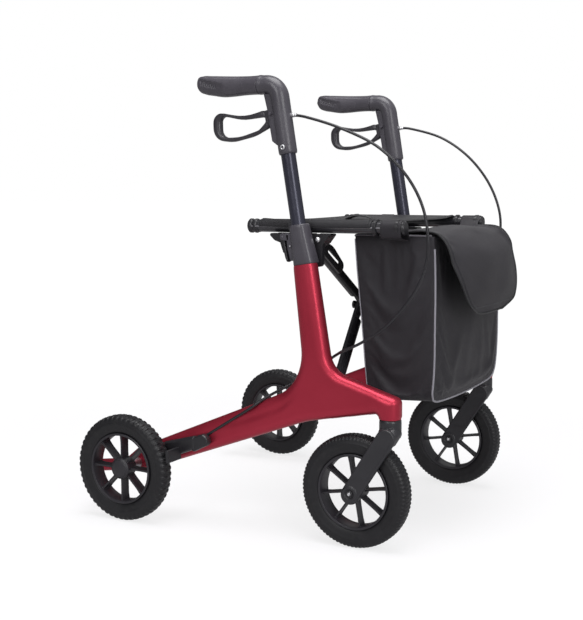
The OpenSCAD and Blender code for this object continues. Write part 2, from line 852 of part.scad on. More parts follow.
mirrored() seat_rail();  // left_seat_rail
rail_fittings();  // right_rail_fittings
mirrored() rail_fittings();  // left_rail_fittings
crossbar_a();
crossbar_b();
centre_bolt();
seat_sling();
bag();
bag_flap();
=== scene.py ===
"""Looks of the folding rollator walker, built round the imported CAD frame.

Shapes are worked out in millimetres in the CAD's own frame (+X forward, +Y left, +Z up) and scaled to
metres when an object is made. Paired parts are drawn for the right side, at negative Y, and mirrored.
"""

import json
import math

import bmesh
import bpy
import numpy as np
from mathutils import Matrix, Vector
from mathutils.geometry import delaunay_2d_cdt


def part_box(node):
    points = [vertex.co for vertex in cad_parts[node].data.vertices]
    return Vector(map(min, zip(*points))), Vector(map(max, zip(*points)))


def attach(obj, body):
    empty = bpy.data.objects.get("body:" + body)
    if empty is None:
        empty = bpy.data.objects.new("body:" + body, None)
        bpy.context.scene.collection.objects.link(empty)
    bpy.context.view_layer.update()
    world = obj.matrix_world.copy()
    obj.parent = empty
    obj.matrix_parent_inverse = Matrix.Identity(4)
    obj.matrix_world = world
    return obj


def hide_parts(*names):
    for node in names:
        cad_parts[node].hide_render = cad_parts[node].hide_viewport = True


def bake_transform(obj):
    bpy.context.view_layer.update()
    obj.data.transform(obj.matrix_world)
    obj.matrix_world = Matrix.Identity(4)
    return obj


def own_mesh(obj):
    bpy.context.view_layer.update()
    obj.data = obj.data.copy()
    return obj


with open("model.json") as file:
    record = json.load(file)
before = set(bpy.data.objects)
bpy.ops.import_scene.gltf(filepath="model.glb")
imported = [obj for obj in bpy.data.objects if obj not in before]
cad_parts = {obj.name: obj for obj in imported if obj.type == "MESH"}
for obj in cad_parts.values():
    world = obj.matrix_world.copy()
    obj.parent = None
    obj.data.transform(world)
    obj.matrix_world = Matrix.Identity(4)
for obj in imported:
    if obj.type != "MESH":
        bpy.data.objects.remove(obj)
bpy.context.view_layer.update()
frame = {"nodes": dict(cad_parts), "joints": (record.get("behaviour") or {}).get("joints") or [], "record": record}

MM = 0.001
SIDES = {"right": -1, "left": 1}


def box_mm(node):
    """Lowest and highest corners of a CAD node, in millimetres."""
    low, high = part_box(node)
    return np.array(low) / MM, np.array(high) / MM


def centre_mm(node):
    low, high = box_mm(node)
    return (low + high) / 2


def half_size(node):
    """Half of a CAD node's length along each axis, to a tenth of a millimetre."""
    low, high = box_mm(node)
    return np.round((high - low) / 2, 1)


def joint(name):
    return next(j for j in frame["joints"] if j["name"] == name)


def joint_mm(name):
    """Where a joint of the CAD model sits, in millimetres."""
    return np.array(joint(name)["pos_m"]) / MM


# ---------- Places taken from the CAD ----------

REAR_HUB = centre_mm("right_rear_tyre")
FRONT_HUB = centre_mm("right_front_tyre")
STEM = joint_mm("right_castor_swivel")
FRAME_Y = STEM[1]
POST_FOOT = joint_mm("right_height")
POST_Y = POST_FOOT[1]
POST_LEAN = math.asin(-joint("right_height")["axis"][0])
TUBE_R = half_size("right_handle_tube")[1]
LEVER_PIVOT = joint_mm("right_lever_squeeze")
RAIL = centre_mm("right_seat_rail")
RAIL_R = half_size("right_seat_rail")[1]
FLAP_HINGE = joint_mm("flap_hinge")
RAIL_BODY = {"right": "brace_b", "left": "brace_a"}


# ---------- Curves and outlines ----------

def smoothstep(low, high, value):
    t = np.clip((value - low) / (high - low), 0, 1)
    return t * t * (3 - 2 * t)


def circle(count):
    """Evenly spaced angles of one turn."""
    return np.arange(count) * 2 * math.pi / count


def squared(share, power):
    """A sine or cosine bent towards a square section, as power rises above 2."""
    return np.sign(share) * np.abs(share) ** (2 / power)


def rounded(corners, step=7.0):
    """Points and corner numbers of an outline through (x, z, radius) corners, each rounded by its radius."""
    points, owners = [], []
    count = len(corners)
    for i, (x, z, radius) in enumerate(corners):
        corner = np.array([x, z], float)
        back = np.array(corners[i - 1][:2], float) - corner
        ahead = np.array(corners[(i + 1) % count][:2], float) - corner
        u, v = back / np.linalg.norm(back), ahead / np.linalg.norm(ahead)
        half = math.acos(np.clip(u @ v, -1, 1)) / 2
        if radius == 0 or half > 1.56:
            points.append(corner)
            owners.append(i)
            continue
        mid = (u + v) / np.linalg.norm(u + v)
        middle = corner + mid * radius / math.sin(half)
        sweep = math.copysign(math.pi / 2 - half, u[0] * v[1] - u[1] * v[0])
        arcs = max(3, math.ceil(math.degrees(abs(sweep)) * 2 / step))
        for k in range(arcs + 1):
            turn = sweep * (1 - 2 * k / arcs)
            c, s = math.cos(turn), math.sin(turn)
            spoke = np.array([mid[0] * c - mid[1] * s, mid[0] * s + mid[1] * c])
            points.append(middle - radius * spoke)
            owners.append(i)
    return np.array(points), owners


def smooth_path(way_points, steps):
    """A smooth curve through way points, by Catmull-Rom pieces."""
    p = np.array(way_points, float)
    p = np.vstack([2 * p[0] - p[1], p, 2 * p[-1] - p[-2]])
    out = []
    for i in range(1, len(p) - 2):
        for s in range(steps):
            t = s / steps
            out.append(0.5 * (2 * p[i] + (p[i + 1] - p[i - 1]) * t
                              + (2 * p[i - 1] - 5 * p[i] + 4 * p[i + 1] - p[i + 2]) * t ** 2
                              + (3 * p[i] - p[i - 1] - 3 * p[i + 1] + p[i + 2]) * t ** 3))
    out.append(p[-2])
    return np.array(out)


def table_curve(keys, x):
    """Value of a smooth curve given by (x, value) keys, at x."""
    xs, ys = zip(*sorted(keys))
    xs, ys = np.array(xs, float), np.array(ys, float)
    slopes = np.gradient(ys, xs)
    i = np.clip(np.searchsorted(xs, x) - 1, 0, len(xs) - 2)
    width = xs[i + 1] - xs[i]
    t = np.clip((x - xs[i]) / width, 0, 1)
    return ((2 * t ** 3 - 3 * t ** 2 + 1) * ys[i] + (t ** 3 - 2 * t ** 2 + t) * width * slopes[i]
            + (3 * t ** 2 - 2 * t ** 3) * ys[i + 1] + (t ** 3 - t ** 2) * width * slopes[i + 1])


# ---------- Parts: (vertices, faces) pairs in millimetres ----------

def combine(*parts):
    vertices, faces, base = [], [], 0
    for points, polygons in parts:
        vertices.append(np.asarray(points, float))
        faces += [tuple(i + base for i in polygon) for polygon in polygons]
        base += len(points)
    return np.vstack(vertices), faces


def moved(part, offset):
    return part[0] + np.array(offset, float), part[1]


def mirrored(part):
    return part[0] * [1, -1, 1], [tuple(reversed(f)) for f in part[1]]


def loft(rings, closed=True, caps=True, loop=False):
    """Joins rings of points, all of one length, into a skin. Caps close both ends with a fan."""
    rings = np.array(rings, float)
    count, size = rings.shape[:2]
    points = list(rings.reshape(-1, 3))
    faces = []
    for i in range(count if loop else count - 1):
        for k in range(size if closed else size - 1):
            a, b = i * size + k, i * size + (k + 1) % size
            c, d = (i + 1) % count * size + (k + 1) % size, (i + 1) % count * size + k
            faces.append((a, b, c, d))
    if caps and closed and not loop:
        for i, order in ((0, -1), (count - 1, 1)):
            middle = len(points)
            points.append(rings[i].mean(0))
            for k in range(size):
                pair = (i * size + k, i * size + (k + 1) % size)[::order]
                faces.append((pair[0], pair[1], middle))
    return np.array(points), faces


def lathe(x, z, profile, steps=96):
    """A solid of revolution about the line along Y through (x, z), from (radius, y) points."""
    rings = [[(x + r * math.sin(t), y, z + r * math.cos(t)) for t in circle(steps)] for r, y in profile]
    return loft(rings, caps=False)


def lathe_z(x, y, profile):
    """A solid of revolution about the vertical line through (x, y), from (radius, z) points."""
    rings = [[(x + r * math.cos(t), y + r * math.sin(t), z) for t in circle(64)] for r, z in profile]
    return loft(rings, caps=False)


def normals_along(path):
    """Two unit normals at each point of a path, carried along it without twist."""
    tangents = np.gradient(path, axis=0)
    tangents /= np.linalg.norm(tangents, axis=1)[:, None]
    normal = np.cross(tangents[0], [0.3, 1, 0.2])
    normals = []
    for t in tangents:
        normal = normal - t * (normal @ t)
        normal = normal / np.linalg.norm(normal)
        normals.append(normal)
    normals = np.array(normals)
    return normals, np.cross(tangents, normals)


def cord(path, radius, sides=14):
    """A round cord along a path."""
    return loft([[p + radius * (math.cos(a) * n + math.sin(a) * b) for a in circle(sides)]
                 for p, n, b in zip(path, *normals_along(path))])


def distance_to(points, starts, ends):
    """Distance from each point to the nearest of the given segments."""
    best = np.full(len(points), 1e9)
    for a, b in zip(starts, ends):
        along = b - a
        t = np.clip((points - a) @ along / max(along @ along, 1e-12), 0, 1)
        best = np.minimum(best, np.linalg.norm(points - a - t[:, None] * along, axis=1))
    return best


def inside(points, outline):
    """Which points lie inside a closed outline."""
    hit = np.zeros(len(points), bool)
    for a, b in zip(outline, np.roll(outline, -1, axis=0)):
        crosses = (a[1] > points[:, 1]) != (b[1] > points[:, 1])
        where = (b[0] - a[0]) * (points[:, 1] - a[1]) / (b[1] - a[1] + 1e-12) + a[0]
        hit ^= crosses & (points[:, 0] < where)
    return hit


def pillow(corners, half_t, edge_r, cell, flat=(), relief=None, power=2.2, rings=6):
    """A closed plate in X and Z, centred on y = 0, whose rim rounds off over edge_r.

    half_t and edge_r are numbers or functions of x and z. An edge whose first corner is listed in flat is
    a plain cut with no rounding. relief(x, z, distance) is taken off the half thickness.
    """
    points, owners = rounded(corners)
    count = len(corners)
    outline, is_flat = [], []
    for i, a in enumerate(points):
        b = points[(i + 1) % len(points)]
        cut = owners[i] in flat and owners[(i + 1) % len(points)] == (owners[i] + 1) % count
        pieces = max(1, math.ceil(np.linalg.norm(b - a) / cell))
        for k in range(pieces):
            outline.append(a + (b - a) * k / pieces)
            is_flat.append(cut)
    outline, is_flat = np.array(outline), np.array(is_flat)
    following = np.roll(outline, -1, axis=0)

    def size(value, p):
        return value(p[:, 0], p[:, 1]) if callable(value) else np.full(len(p), float(value))

    def to_rim(p):
        return distance_to(p, outline[~is_flat], following[~is_flat])

    turn = np.sign(np.sum(outline[:, 0] * following[:, 1] - following[:, 0] * outline[:, 1]))
    way = following - np.roll(outline, 1, axis=0)
    inward = turn * np.stack([-way[:, 1], way[:, 0]], 1) / np.linalg.norm(way, axis=1)[:, None]
    seeds = [outline]
    rim = ~(is_flat | np.roll(is_flat, 1))
    for k in range(1, rings + 1):
        depth = size(edge_r, outline) * (1 - math.cos(math.pi / 2 * k / rings))
        ring = outline[rim] + inward[rim] * depth[rim][:, None]
        seeds.append(ring[inside(ring, outline) & (to_rim(ring) > depth[rim] * 0.97)])
    low, high = outline.min(0), outline.max(0)
    grid = np.stack(np.meshgrid(np.arange(low[0], high[0], cell),
                                np.arange(low[1], high[1], cell * 0.87)), -1)
    grid[1::2, :, 0] += cell / 2
    grid = grid.reshape(-1, 2)
    grid = grid[inside(grid, outline)]
    clear = distance_to(grid, outline, following) > cell * 0.45
    flat_zone = to_rim(grid) < size(edge_r, grid) * 1.04
    seeds.append(grid[clear & ~flat_zone])
    taken, kept = set(), []
    for p in np.vstack(seeds):
        key = tuple(np.round(p / (cell * 0.16)).astype(int))
        if key not in taken or len(kept) < len(outline):
            taken.add(key)
            kept.append(p)
    border = [(i, (i + 1) % len(outline)) for i in range(len(outline))]
    flat_points, _, triangles, *_ = delaunay_2d_cdt([Vector(p) for p in kept], border, [], 1, 1e-5)
    xz = np.array([tuple(p) for p in flat_points])
    distance = to_rim(xz)
    radius = np.maximum(size(edge_r, xz), 1e-6)
    lift = (1 - (1 - np.clip(distance / radius, 0, 1)) ** power) ** (1 / power)
    y = size(half_t, xz) * lift
    if relief is not None:
        y = np.maximum(y - relief(xz[:, 0], xz[:, 1], distance), 0)
    near = np.stack([xz[:, 0], -y, xz[:, 1]], 1)
    far = np.stack([xz[:, 0], y, xz[:, 1]], 1)
    total = len(xz)
    faces = [tuple(t) for t in triangles] + [tuple(total + i for i in reversed(t)) for t in triangles]
    uses = {}
    for t in triangles:
        for a, b in zip(t, list(t[1:]) + [t[0]]):
            uses.setdefault(frozenset((a, b)), []).append((a, b))
    for sides in uses.values():
        if len(sides) == 1:
            a, b = sides[0]
            if y[a] > 1e-4 or y[b] > 1e-4:
                faces.append((b, a, total + a, total + b))
    return np.vstack([near, far]), faces


def ring_band(outer, hole, half_t, steps=120, around=16, squareness=2.6):
    """A closed loop, such as a lever's, between two outlines seen from the hole's middle.

    half_t(x) is half the loop's thickness. Its section is a rounded square.
    """
    outside, _ = rounded(outer)
    within, _ = rounded(hole)
    middle = within.mean(0)

    def reach(outline, angle):
        way = np.array([math.cos(angle), math.sin(angle)])
        best = 0
        for a, b in zip(outline - middle, np.roll(outline, -1, axis=0) - middle):
            edge = b - a
            det = way[0] * -edge[1] + way[1] * edge[0]
            if abs(det) > 1e-9:
                far = (a[0] * -edge[1] + a[1] * edge[0]) / det
                share = (way[0] * a[1] - way[1] * a[0]) / det
                if far > 0 and -1e-6 <= share <= 1 + 1e-6:
                    best = max(best, far)
        return middle + way * best

    rings = []
    for angle in circle(steps):
        a, b = reach(outside, angle), reach(within, angle)
        half = half_t((a[0] + b[0]) / 2)
        ring = []
        for turn in circle(around):
            x, z = (a + b) / 2 + (a - b) / 2 * squared(math.cos(turn), squareness)
            ring.append((x, half * squared(math.sin(turn), squareness), z))
        rings.append(ring)
    return loft(rings, loop=True)


def on_post(part):
    """Carries a part drawn about the origin, with z along the tube, to the leaning handle post."""
    c, s = math.cos(POST_LEAN), math.sin(POST_LEAN)
    p = part[0]
    turned = np.stack([p[:, 0] * c - p[:, 2] * s, p[:, 1], p[:, 0] * s + p[:, 2] * c], 1)
    return turned + POST_FOOT, part[1]


# ---------- Objects ----------

def make_object(name, part, look, sharp_deg=38):
    """A mesh object from a part, shaded smooth but for edges sharper than sharp_deg."""
    points, faces = part
    mesh = bpy.data.meshes.new(name)
    mesh.from_pydata([tuple(p * MM) for p in points], [], faces)
    work = bmesh.new()
    work.from_mesh(mesh)
    bmesh.ops.remove_doubles(work, verts=work.verts, dist=2e-5)
    bmesh.ops.dissolve_degenerate(work, dist=1e-6, edges=work.edges)
    bmesh.ops.recalc_face_normals(work, faces=work.faces)
    for f in work.faces:
        f.smooth = True
    limit = math.radians(sharp_deg)
    for e in work.edges:
        if len(e.link_faces) == 2 and e.calc_face_angle(0) > limit:
            e.smooth = False
    work.to_mesh(mesh)
    work.free()
    obj = bpy.data.objects.new(name, mesh)
    bpy.context.scene.collection.objects.link(obj)
    obj.data.materials.append(look)
    return obj


def fitted(obj, body, node=None):
    """Rides an object on a body and stands it for a CAD node."""
    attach(obj, body)
    if node:
        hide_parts(node)


def piece(name, part, body, slot, node=None, look=None, sharp_deg=38):
    """A new object fitted to a body, with its slot's look unless another is given."""
    fitted(make_object(name, part, look or looks[slot], sharp_deg), body, node)


def shifted(part):
    """The left side's copy of a part that is not mirrored."""
    return moved(part, (0, -2 * FRAME_Y, 0))


def pair(name, part, body, slot, node=None, to_left=mirrored, sharp_deg=38):
    """Makes a piece for the right side and its mirrored or shifted copy for the left."""
    for side, here in (("right", part), ("left", to_left(part))):
        piece(f"{side}_{name}", here, f"{side}_{body}", slot, node and f"{side}_{node}", sharp_deg=sharp_deg)


# ---------- Materials ----------

class Graph:
    """The nodes of a material or world, with short names for the usual steps."""

    def __init__(self, owner):
        owner.use_nodes = True
        self.tree = owner.node_tree
        self.tree.nodes.clear()

    def node(self, kind, **settings):
        made = self.tree.nodes.new(kind)
        for key, value in settings.items():
            setattr(made, key, value)
        return made

    def put(self, target, value):
        if hasattr(value, "links"):
            self.tree.links.new(value, target)
        else:
            target.default_value = value

    def math(self, kind, a, b=0.0, c=0.0):
        made = self.node("ShaderNodeMath", operation=kind)
        for target, value in zip(made.inputs, (a, b, c)):
            self.put(target, value)
        return made.outputs[0]

    def spread(self, value, low, high, new_low, new_high):
        made = self.node("ShaderNodeMapRange", interpolation_type="SMOOTHSTEP")
        for target, v in zip(made.inputs, (value, low, high, new_low, new_high)):
            self.put(target, v)
        return made.outputs[0]

    def times(self, a, b):
        return self.math("MULTIPLY", a, b)

    def mix_shaders(self, share, a, b):
        made = self.node("ShaderNodeMixShader")
        for target, value in zip(made.inputs, (share, a, b)):
            self.put(target, value)
        return made.outputs[0]


class Look(Graph):
    """A material with one principled shader, placed by object coordinates."""

    def __init__(self, name):
        self.material = bpy.data.materials.new(name)
        super().__init__(self.material)
        self.output = self.node("ShaderNodeOutputMaterial")
        self.shader = self.node("ShaderNodeBsdfPrincipled")
        self.put(self.output.inputs[0], self.shader.outputs[0])
        self.place = self.node("ShaderNodeTexCoord").outputs["Object"]

    def set(self, **inputs):
        for key, value in inputs.items():
            self.put(self.shader.inputs[key.replace("_", " ")], value)

    def noise(self, scale, detail=3.0, roughness=0.55, place=None):
        made = self.node("ShaderNodeTexNoise")
        for key, value in (("Vector", place or self.place), ("Scale", scale), ("Detail", detail),
                           ("Roughness", roughness)):
            self.put(made.inputs[key], value)
        return made.outputs[0]

    def patches(self, scale, detail, low=0.35, high=0.7):
        """Soft blotches from 0 to 1."""
        return self.spread(self.noise(scale, detail), low, high, 0, 1)

    def blend(self, share, a, b):
        made = self.node("ShaderNodeMix", data_type="RGBA")
        self.put(made.inputs[0], share)
        self.put(made.inputs[6], (*a, 1) if isinstance(a, tuple) else a)
        self.put(made.inputs[7], (*b, 1) if isinstance(b, tuple) else b)
        return made.outputs[2]

    def stretched(self, x, y, z):
        made = self.node("ShaderNodeMapping")
        self.put(made.inputs["Vector"], self.place)
        made.inputs["Scale"].default_value = (x, y, z)
        return made.outputs[0]

    def bump(self, height, depth_mm, under=None):
        made = self.node("ShaderNodeBump")
        made.inputs["Strength"].default_value = 1.0
        made.inputs["Distance"].default_value = depth_mm * MM
        self.put(made.inputs["Height"], height)
        if under is not None:
            self.put(made.inputs["Normal"], under)
        return made.outputs[0]

    def edges(self, width_mm):
        """1 on worn outer edges and 0 elsewhere, and the softened normal."""
        bevel = self.node("ShaderNodeBevel", samples=4)
        bevel.inputs["Radius"].default_value = width_mm * MM
        flat = self.node("ShaderNodeNewGeometry").outputs["Normal"]
        dot = self.node("ShaderNodeVectorMath", operation="DOT_PRODUCT")
        self.put(dot.inputs[0], bevel.outputs[0])
        self.put(dot.inputs[1], flat)
        return self.spread(dot.outputs["Value"], 0.93, 0.999, 1.0, 0.0), bevel.outputs[0]


def lighter(colour, share):
    """A paler tint that stays close to the colour when the colour is dark."""
    return tuple(c + (1 - c) * math.sqrt(c) * share * 0.6 for c in colour)


def darker(colour, share):
    return tuple(c * (1 - share) for c in colour)


def paint(name, colour):
    """Satin metallic paint under a clear coat: fine flakes, slow colour drift and faint handling marks."""
    g = Look(name)
    drift = g.patches(9, 2, 0.35, 0.65)
    flakes = g.node("ShaderNodeTexVoronoi")
    g.put(flakes.inputs["Vector"], g.place)
    flakes.inputs["Scale"].default_value = 2600
    sparkle = g.spread(flakes.outputs["Distance"], 0.0, 0.55, 1.0, 0.0)
    base = g.blend(drift, darker(colour, 0.06), lighter(colour, 0.03))
    base = g.blend(g.times(sparkle, 0.28), base, lighter(colour, 0.16))
    worn, _ = g.edges(0.7)
    base = g.blend(g.times(worn, 0.15), base, lighter(colour, 0.3))
    smears = g.spread(g.noise(38, 4, 0.6), 0.4, 0.72, 0.0, 1.0)
    rough = g.math("MULTIPLY_ADD", smears, 0.05, 0.36)
    peel = g.bump(g.noise(420, 2), 0.012)
    normal = g.bump(sparkle, 0.006, peel)
    g.set(Base_Color=base, Metallic=0.72, Roughness=rough, Normal=normal, Coat_Weight=0.12,
          Coat_Roughness=0.28, Specular_IOR_Level=0.4)
    return g.material


def plastic(name, colour, rough, grain=900, grain_mm=0.03, metal=0.0, coat=0.0):
    """Moulded plastic or satin coating: fine texture, patchy sheen and paler, rubbed edges."""
    g = Look(name)
    patch = g.patches(22, 3)
    fine = g.noise(grain, 2, 0.5)
    base = g.blend(patch, darker(colour, 0.1), lighter(colour, 0.02))
    base = g.blend(g.spread(fine, 0.45, 0.7, 0, 0.35), base, lighter(colour, 0.05))
    worn, soft = g.edges(0.8)
    rubbed = g.times(worn, g.spread(g.noise(130, 4), 0.35, 0.65, 0.3, 1.0))
    base = g.blend(g.times(rubbed, 0.12), base, lighter(colour, 0.35))
    shine = g.math("MULTIPLY_ADD", patch, 0.08, rough - 0.04)
    shine = g.math("MULTIPLY_ADD", rubbed, -0.1, shine)
    g.set(Base_Color=base, Roughness=shine, Metallic=metal, Normal=g.bump(fine, grain_mm, soft),
          Coat_Weight=coat, Coat_Roughness=0.3, Specular_IOR_Level=0.5)
    return g.material


def steel(name, colour, rough):
    """Turned or plated metal with fine concentric lines, dull patches and bright edges."""
    g = Look(name)
    lines = g.noise(60, 3, 0.6, g.stretched(1, 40, 1))
    patch = g.patches(70, 3, 0.4, 0.65)
    worn, soft = g.edges(0.4)
    base = g.blend(patch, darker(colour, 0.12), colour)
    base = g.blend(g.times(worn, 0.5), base, lighter(colour, 0.4))
    g.set(Base_Color=base, Metallic=1.0, Roughness=g.math("MULTIPLY_ADD", lines, 0.2, rough - 0.08),
          Normal=g.bump(lines, 0.02, soft))
    return g.material


def weave(g, pitch_mm):
    """Height of a plain weave that follows whichever two axes the surface faces."""
    split = g.node("ShaderNodeSeparateXYZ")
    g.put(split.inputs[0], g.place)
    facing = g.node("ShaderNodeSeparateXYZ")
    g.put(facing.inputs[0], g.node("ShaderNodeNewGeometry").outputs["Normal"])
    turns = 2 * math.pi / (pitch_mm * MM)
    wave = [g.math("SINE", g.times(split.outputs[i], turns)) for i in range(3)]
    total = None
    for across in range(3):
        u, v = (i for i in range(3) if i != across)
        weight = g.math("POWER", g.math("ABSOLUTE", facing.outputs[across]), 3.0)
        part = g.times(g.times(wave[u], wave[v]), weight)
        total = part if total is None else g.math("ADD", total, part)
    return g.math("MULTIPLY_ADD", total, 0.5, 0.5)


def fabric(name, colour, pitch_mm, rough, sheen, crease_mm=0.5, weave_mm=0.12):
    """Coated woven cloth: threads, slubs, soft creases and a faint sheen."""
    g = Look(name)
    threads = weave(g, pitch_mm)
    slub = g.noise(260, 2, 0.6)
    creases = g.noise(16, 5, 0.62)
    fade = g.patches(7, 3)
    base = g.blend(fade, darker(colour, 0.12), lighter(colour, 0.025))
    base = g.blend(g.times(threads, 0.35), base, lighter(colour, 0.05))
    normal = g.bump(creases, crease_mm)
    normal = g.bump(slub, 0.05, normal)
    normal = g.bump(threads, weave_mm, normal)
    g.set(Base_Color=base, Roughness=g.math("MULTIPLY_ADD", creases, 0.12, rough - 0.06), Normal=normal,
          Sheen_Weight=sheen, Sheen_Roughness=0.5, Specular_IOR_Level=0.35)
    return g.material


def rubber(name, colour, rough, grain, dust):
    """Rubber with a fine skin, dull patches and a little dust in the low places."""
    g = Look(name)
    patch = g.patches(26, 4)
    fine = g.noise(grain, 3, 0.6)
    worn, soft = g.edges(0.6)
    base = g.blend(patch, darker(colour, 0.15), lighter(colour, 0.02))
    base = g.blend(g.times(g.patches(90, 5, 0.5, 0.75), dust), base, (0.2, 0.19, 0.18))
    base = g.blend(g.times(worn, 0.1), base, lighter(colour, 0.2))
    g.set(Base_Color=base, Roughness=g.math("MULTIPLY_ADD", patch, 0.1, rough - 0.05),
          Normal=g.bump(fine, 0.05, soft), Specular_IOR_Level=0.4)
    return g.material


looks = {
    "frame_paint": paint("satin_red_paint", (0.455, 0.028, 0.056)),
    "dark_plastic": plastic("dark_grey_moulding", (0.066, 0.061, 0.074), 0.34),
    "black_plastic": plastic("black_moulding", (0.017, 0.016, 0.019), 0.34),
    "lever_plastic": plastic("lever_moulding", (0.036, 0.033, 0.040), 0.30, grain_mm=0.015),
    "fork_plastic": plastic("fork_coating", (0.021, 0.020, 0.024), 0.38, grain=1500, grain_mm=0.02,
                            coat=0.05),
    "wheel_plastic": plastic("wheel_nylon", (0.022, 0.020, 0.025), 0.44),
    "tube_anodised": plastic("anthracite_coating", (0.038, 0.038, 0.058), 0.28, grain=2000, grain_mm=0.006,
                             metal=0.5, coat=0.1),
    "rail_metal": plastic("satin_black_coating", (0.030, 0.029, 0.034), 0.24, grain=1600, grain_mm=0.006,
                          coat=0.2),
    "bright_steel": steel("zinc_plated_steel", (0.88, 0.88, 0.90), 0.34),
    "dull_steel": steel("turned_steel", (0.35, 0.35, 0.37), 0.4),
    "grip_rubber": rubber("grip_skin", (0.074, 0.068, 0.082), 0.28, 1400, 0.03),
    "tyre_rubber": rubber("tyre_rubber", (0.0105, 0.010, 0.012), 0.48, 600, 0.03),
    "cable_jacket": rubber("cable_jacket", (0.024, 0.023, 0.027), 0.24, 900, 0.02),
    "bag_fabric": fabric("bag_nylon", (0.020, 0.0178, 0.0225), 0.9, 0.56, 0.04),
    "sling_fabric": fabric("sling_polyester", (0.015, 0.014, 0.017), 1.3, 0.58, 0.05, 0.3),
}
piping_look = fabric("grey_piping", (0.30, 0.29, 0.33), 0.7, 0.45, 0.2, 0.05)
hem_look = fabric("rolled_hem", (0.10, 0.095, 0.11), 0.7, 0.45, 0.2, 0.05)
# The rail lip's light grey colour is a painted highlight line along each rail.
lip_painted_highlight_look = plastic("channel_lip_painted_highlight", (0.20, 0.195, 0.21), 0.3, grain=1600, grain_mm=0.006, metal=0.3)
webbing_look = fabric("black_webbing", (0.012, 0.012, 0.014), 2.2, 0.55, 0.08, 0.1, 0.35)
thread_look = fabric("stitch_thread", (0.04, 0.04, 0.045), 0.5, 0.5, 0.1, 0.02)

for row in frame["record"]["subparts"]:
    cad = frame["nodes"][row["node"]]
    cad.data.materials.clear()
    cad.data.materials.append(looks[row["material_slot"]])


# ---------- Side frames ----------

def side_frame():
    """One moulding: the upright, the long rear arm and the short front arm with its swivel boss."""
    stem_x = STEM[0]
    corners = [
        (80.4, 485.1, 0), (123.1, 492.2, 0), (154.5, 306, 44), (stem_x + 19, 267.5, 13),
        (stem_x + 19, 232, 0), (stem_x - 19, 232, 0), (stem_x - 20, 239, 6), (108, 213, 200),
        (REAR_HUB[0] + 15, 86, 150), (-357, 67, 9), (-357, 90, 9), (REAR_HUB[0] - 38, 100, 40),
        (REAR_HUB[0] - 8, 125, 24), (104, 278.5, 84),
    ]
    top_edge, boss_edge = 0, 4

    def half_t(x, z):
        return 17 + 2 * smoothstep(stem_x - 45, stem_x - 10, x)

    def edge_r(x, z):
        upright = smoothstep(300, 380, z)
        tail = 1 - smoothstep(-330, -200, x)
        boss = smoothstep(stem_x - 40, stem_x, x)
        return 17 + 3 * upright - 6 * tail + 2 * boss

    def relief(x, z, distance):
        """The shallow shelf along the top of the rear arm, which fades out at both ends."""
        crease = table_curve([(-240, 138), (-88, 180), (-3, 205), (31, 219), (65, 234), (95, 262)], x)
        along = smoothstep(-110, 0, x) * (1 - smoothstep(60, 100, x))
        return 2.2 * along * smoothstep(-2.5, 2.5, z - crease)

    shell = pillow(corners, half_t, edge_r, cell=5.0, flat=(top_edge, boss_edge), relief=relief,
                   power=2.4, rings=7)
    return moved(shell, (0, FRAME_Y, 0))


pair("frame_shell", side_frame(), "frame", "frame_paint", "side_frame", sharp_deg=50)


# ---------- Sleeves and clamp levers ----------

def rounded_square(half_x, half_y, radius, turns):
    """Points of a rectangle with round corners, about the origin, in X and Y."""
    power = 2 + 3.2 * (1 - radius / min(half_x, half_y))
    return np.stack([half_x * squared(np.cos(turns), power), half_y * squared(np.sin(turns), power)], 1)


def sleeve():
    """Tapered sleeve on top of the side frame, with the solid clamp housing down its rear edge."""
    height, corner_r, hole_r = 70, 11, TUBE_R + 0.3
    turns = circle(48)
    levels = [(0.05, 20.0, 17.9), (0.9, 20.5, 18.3), (2.0, 20.6, 18.4), (20, 19.2, 17.8), (45, 17.3, 17.0),
              (64, 16.3, 16.4), (68, 16.1, 16.2), (69.4, 15.6, 15.7), (70.0, 14.8, 14.9)]
    rings = []
    for z, half_x, half_y in levels:
        ring = rounded_square(half_x, half_y, corner_r, turns)
        rings.append(np.column_stack([ring[:, 0] + 4 - 2.6 * z / height, ring[:, 1], np.full(len(ring), z)]))
    for z in (height, height - 6):
        rings.append([(hole_r * math.cos(a), hole_r * math.sin(a), z) for a in turns])
    housing = pillow([(65, 541, 3), (90, 545, 0), (96, 498, 0), (74, 493, 4), (68.2, 516, 60)],
                     half_t=10.5, edge_r=2.2, cell=2.5, rings=4)
    return combine(on_post(loft(rings, caps=False)), moved(housing, (0, POST_Y, 0)))


pair("sleeve_shell", sleeve(), "frame", "dark_plastic", "sleeve", sharp_deg=45)


def clamp_ears():
    """The two ears that carry the clamp lever's pin, the pin, and the housing's small screw."""
    x, _, z = joint_mm("right_clamp_turn")
    ear = pillow([(x - 5, z + 4, 4), (x - 1, z + 7, 3), (x + 13, z + 7, 0), (x + 13, z - 6, 0),
                  (x - 3, z - 5, 4)], half_t=1.1, edge_r=0.8, cell=1.6, rings=3)
    pin = lathe(x, z, [(0, -11.6), (1.6, -11.6), (2.2, -11.0), (2.2, 11.0), (1.6, 11.6), (0, 11.6)], 24)
    screw = lathe(x + 16.5, z - 15, [(0, -11.3), (1.2, -11.3), (1.4, -11.9), (2.6, -11.7), (2.9, -11),
                                     (2.9, -10)], 28)
    ears = [moved(ear, (0, y, 0)) for y in (-9.4, 9.4)]
    return moved(combine(*ears, pin, screw), (0, POST_Y, 0))


pair("clamp_ears", clamp_ears(), "frame", "dark_plastic")


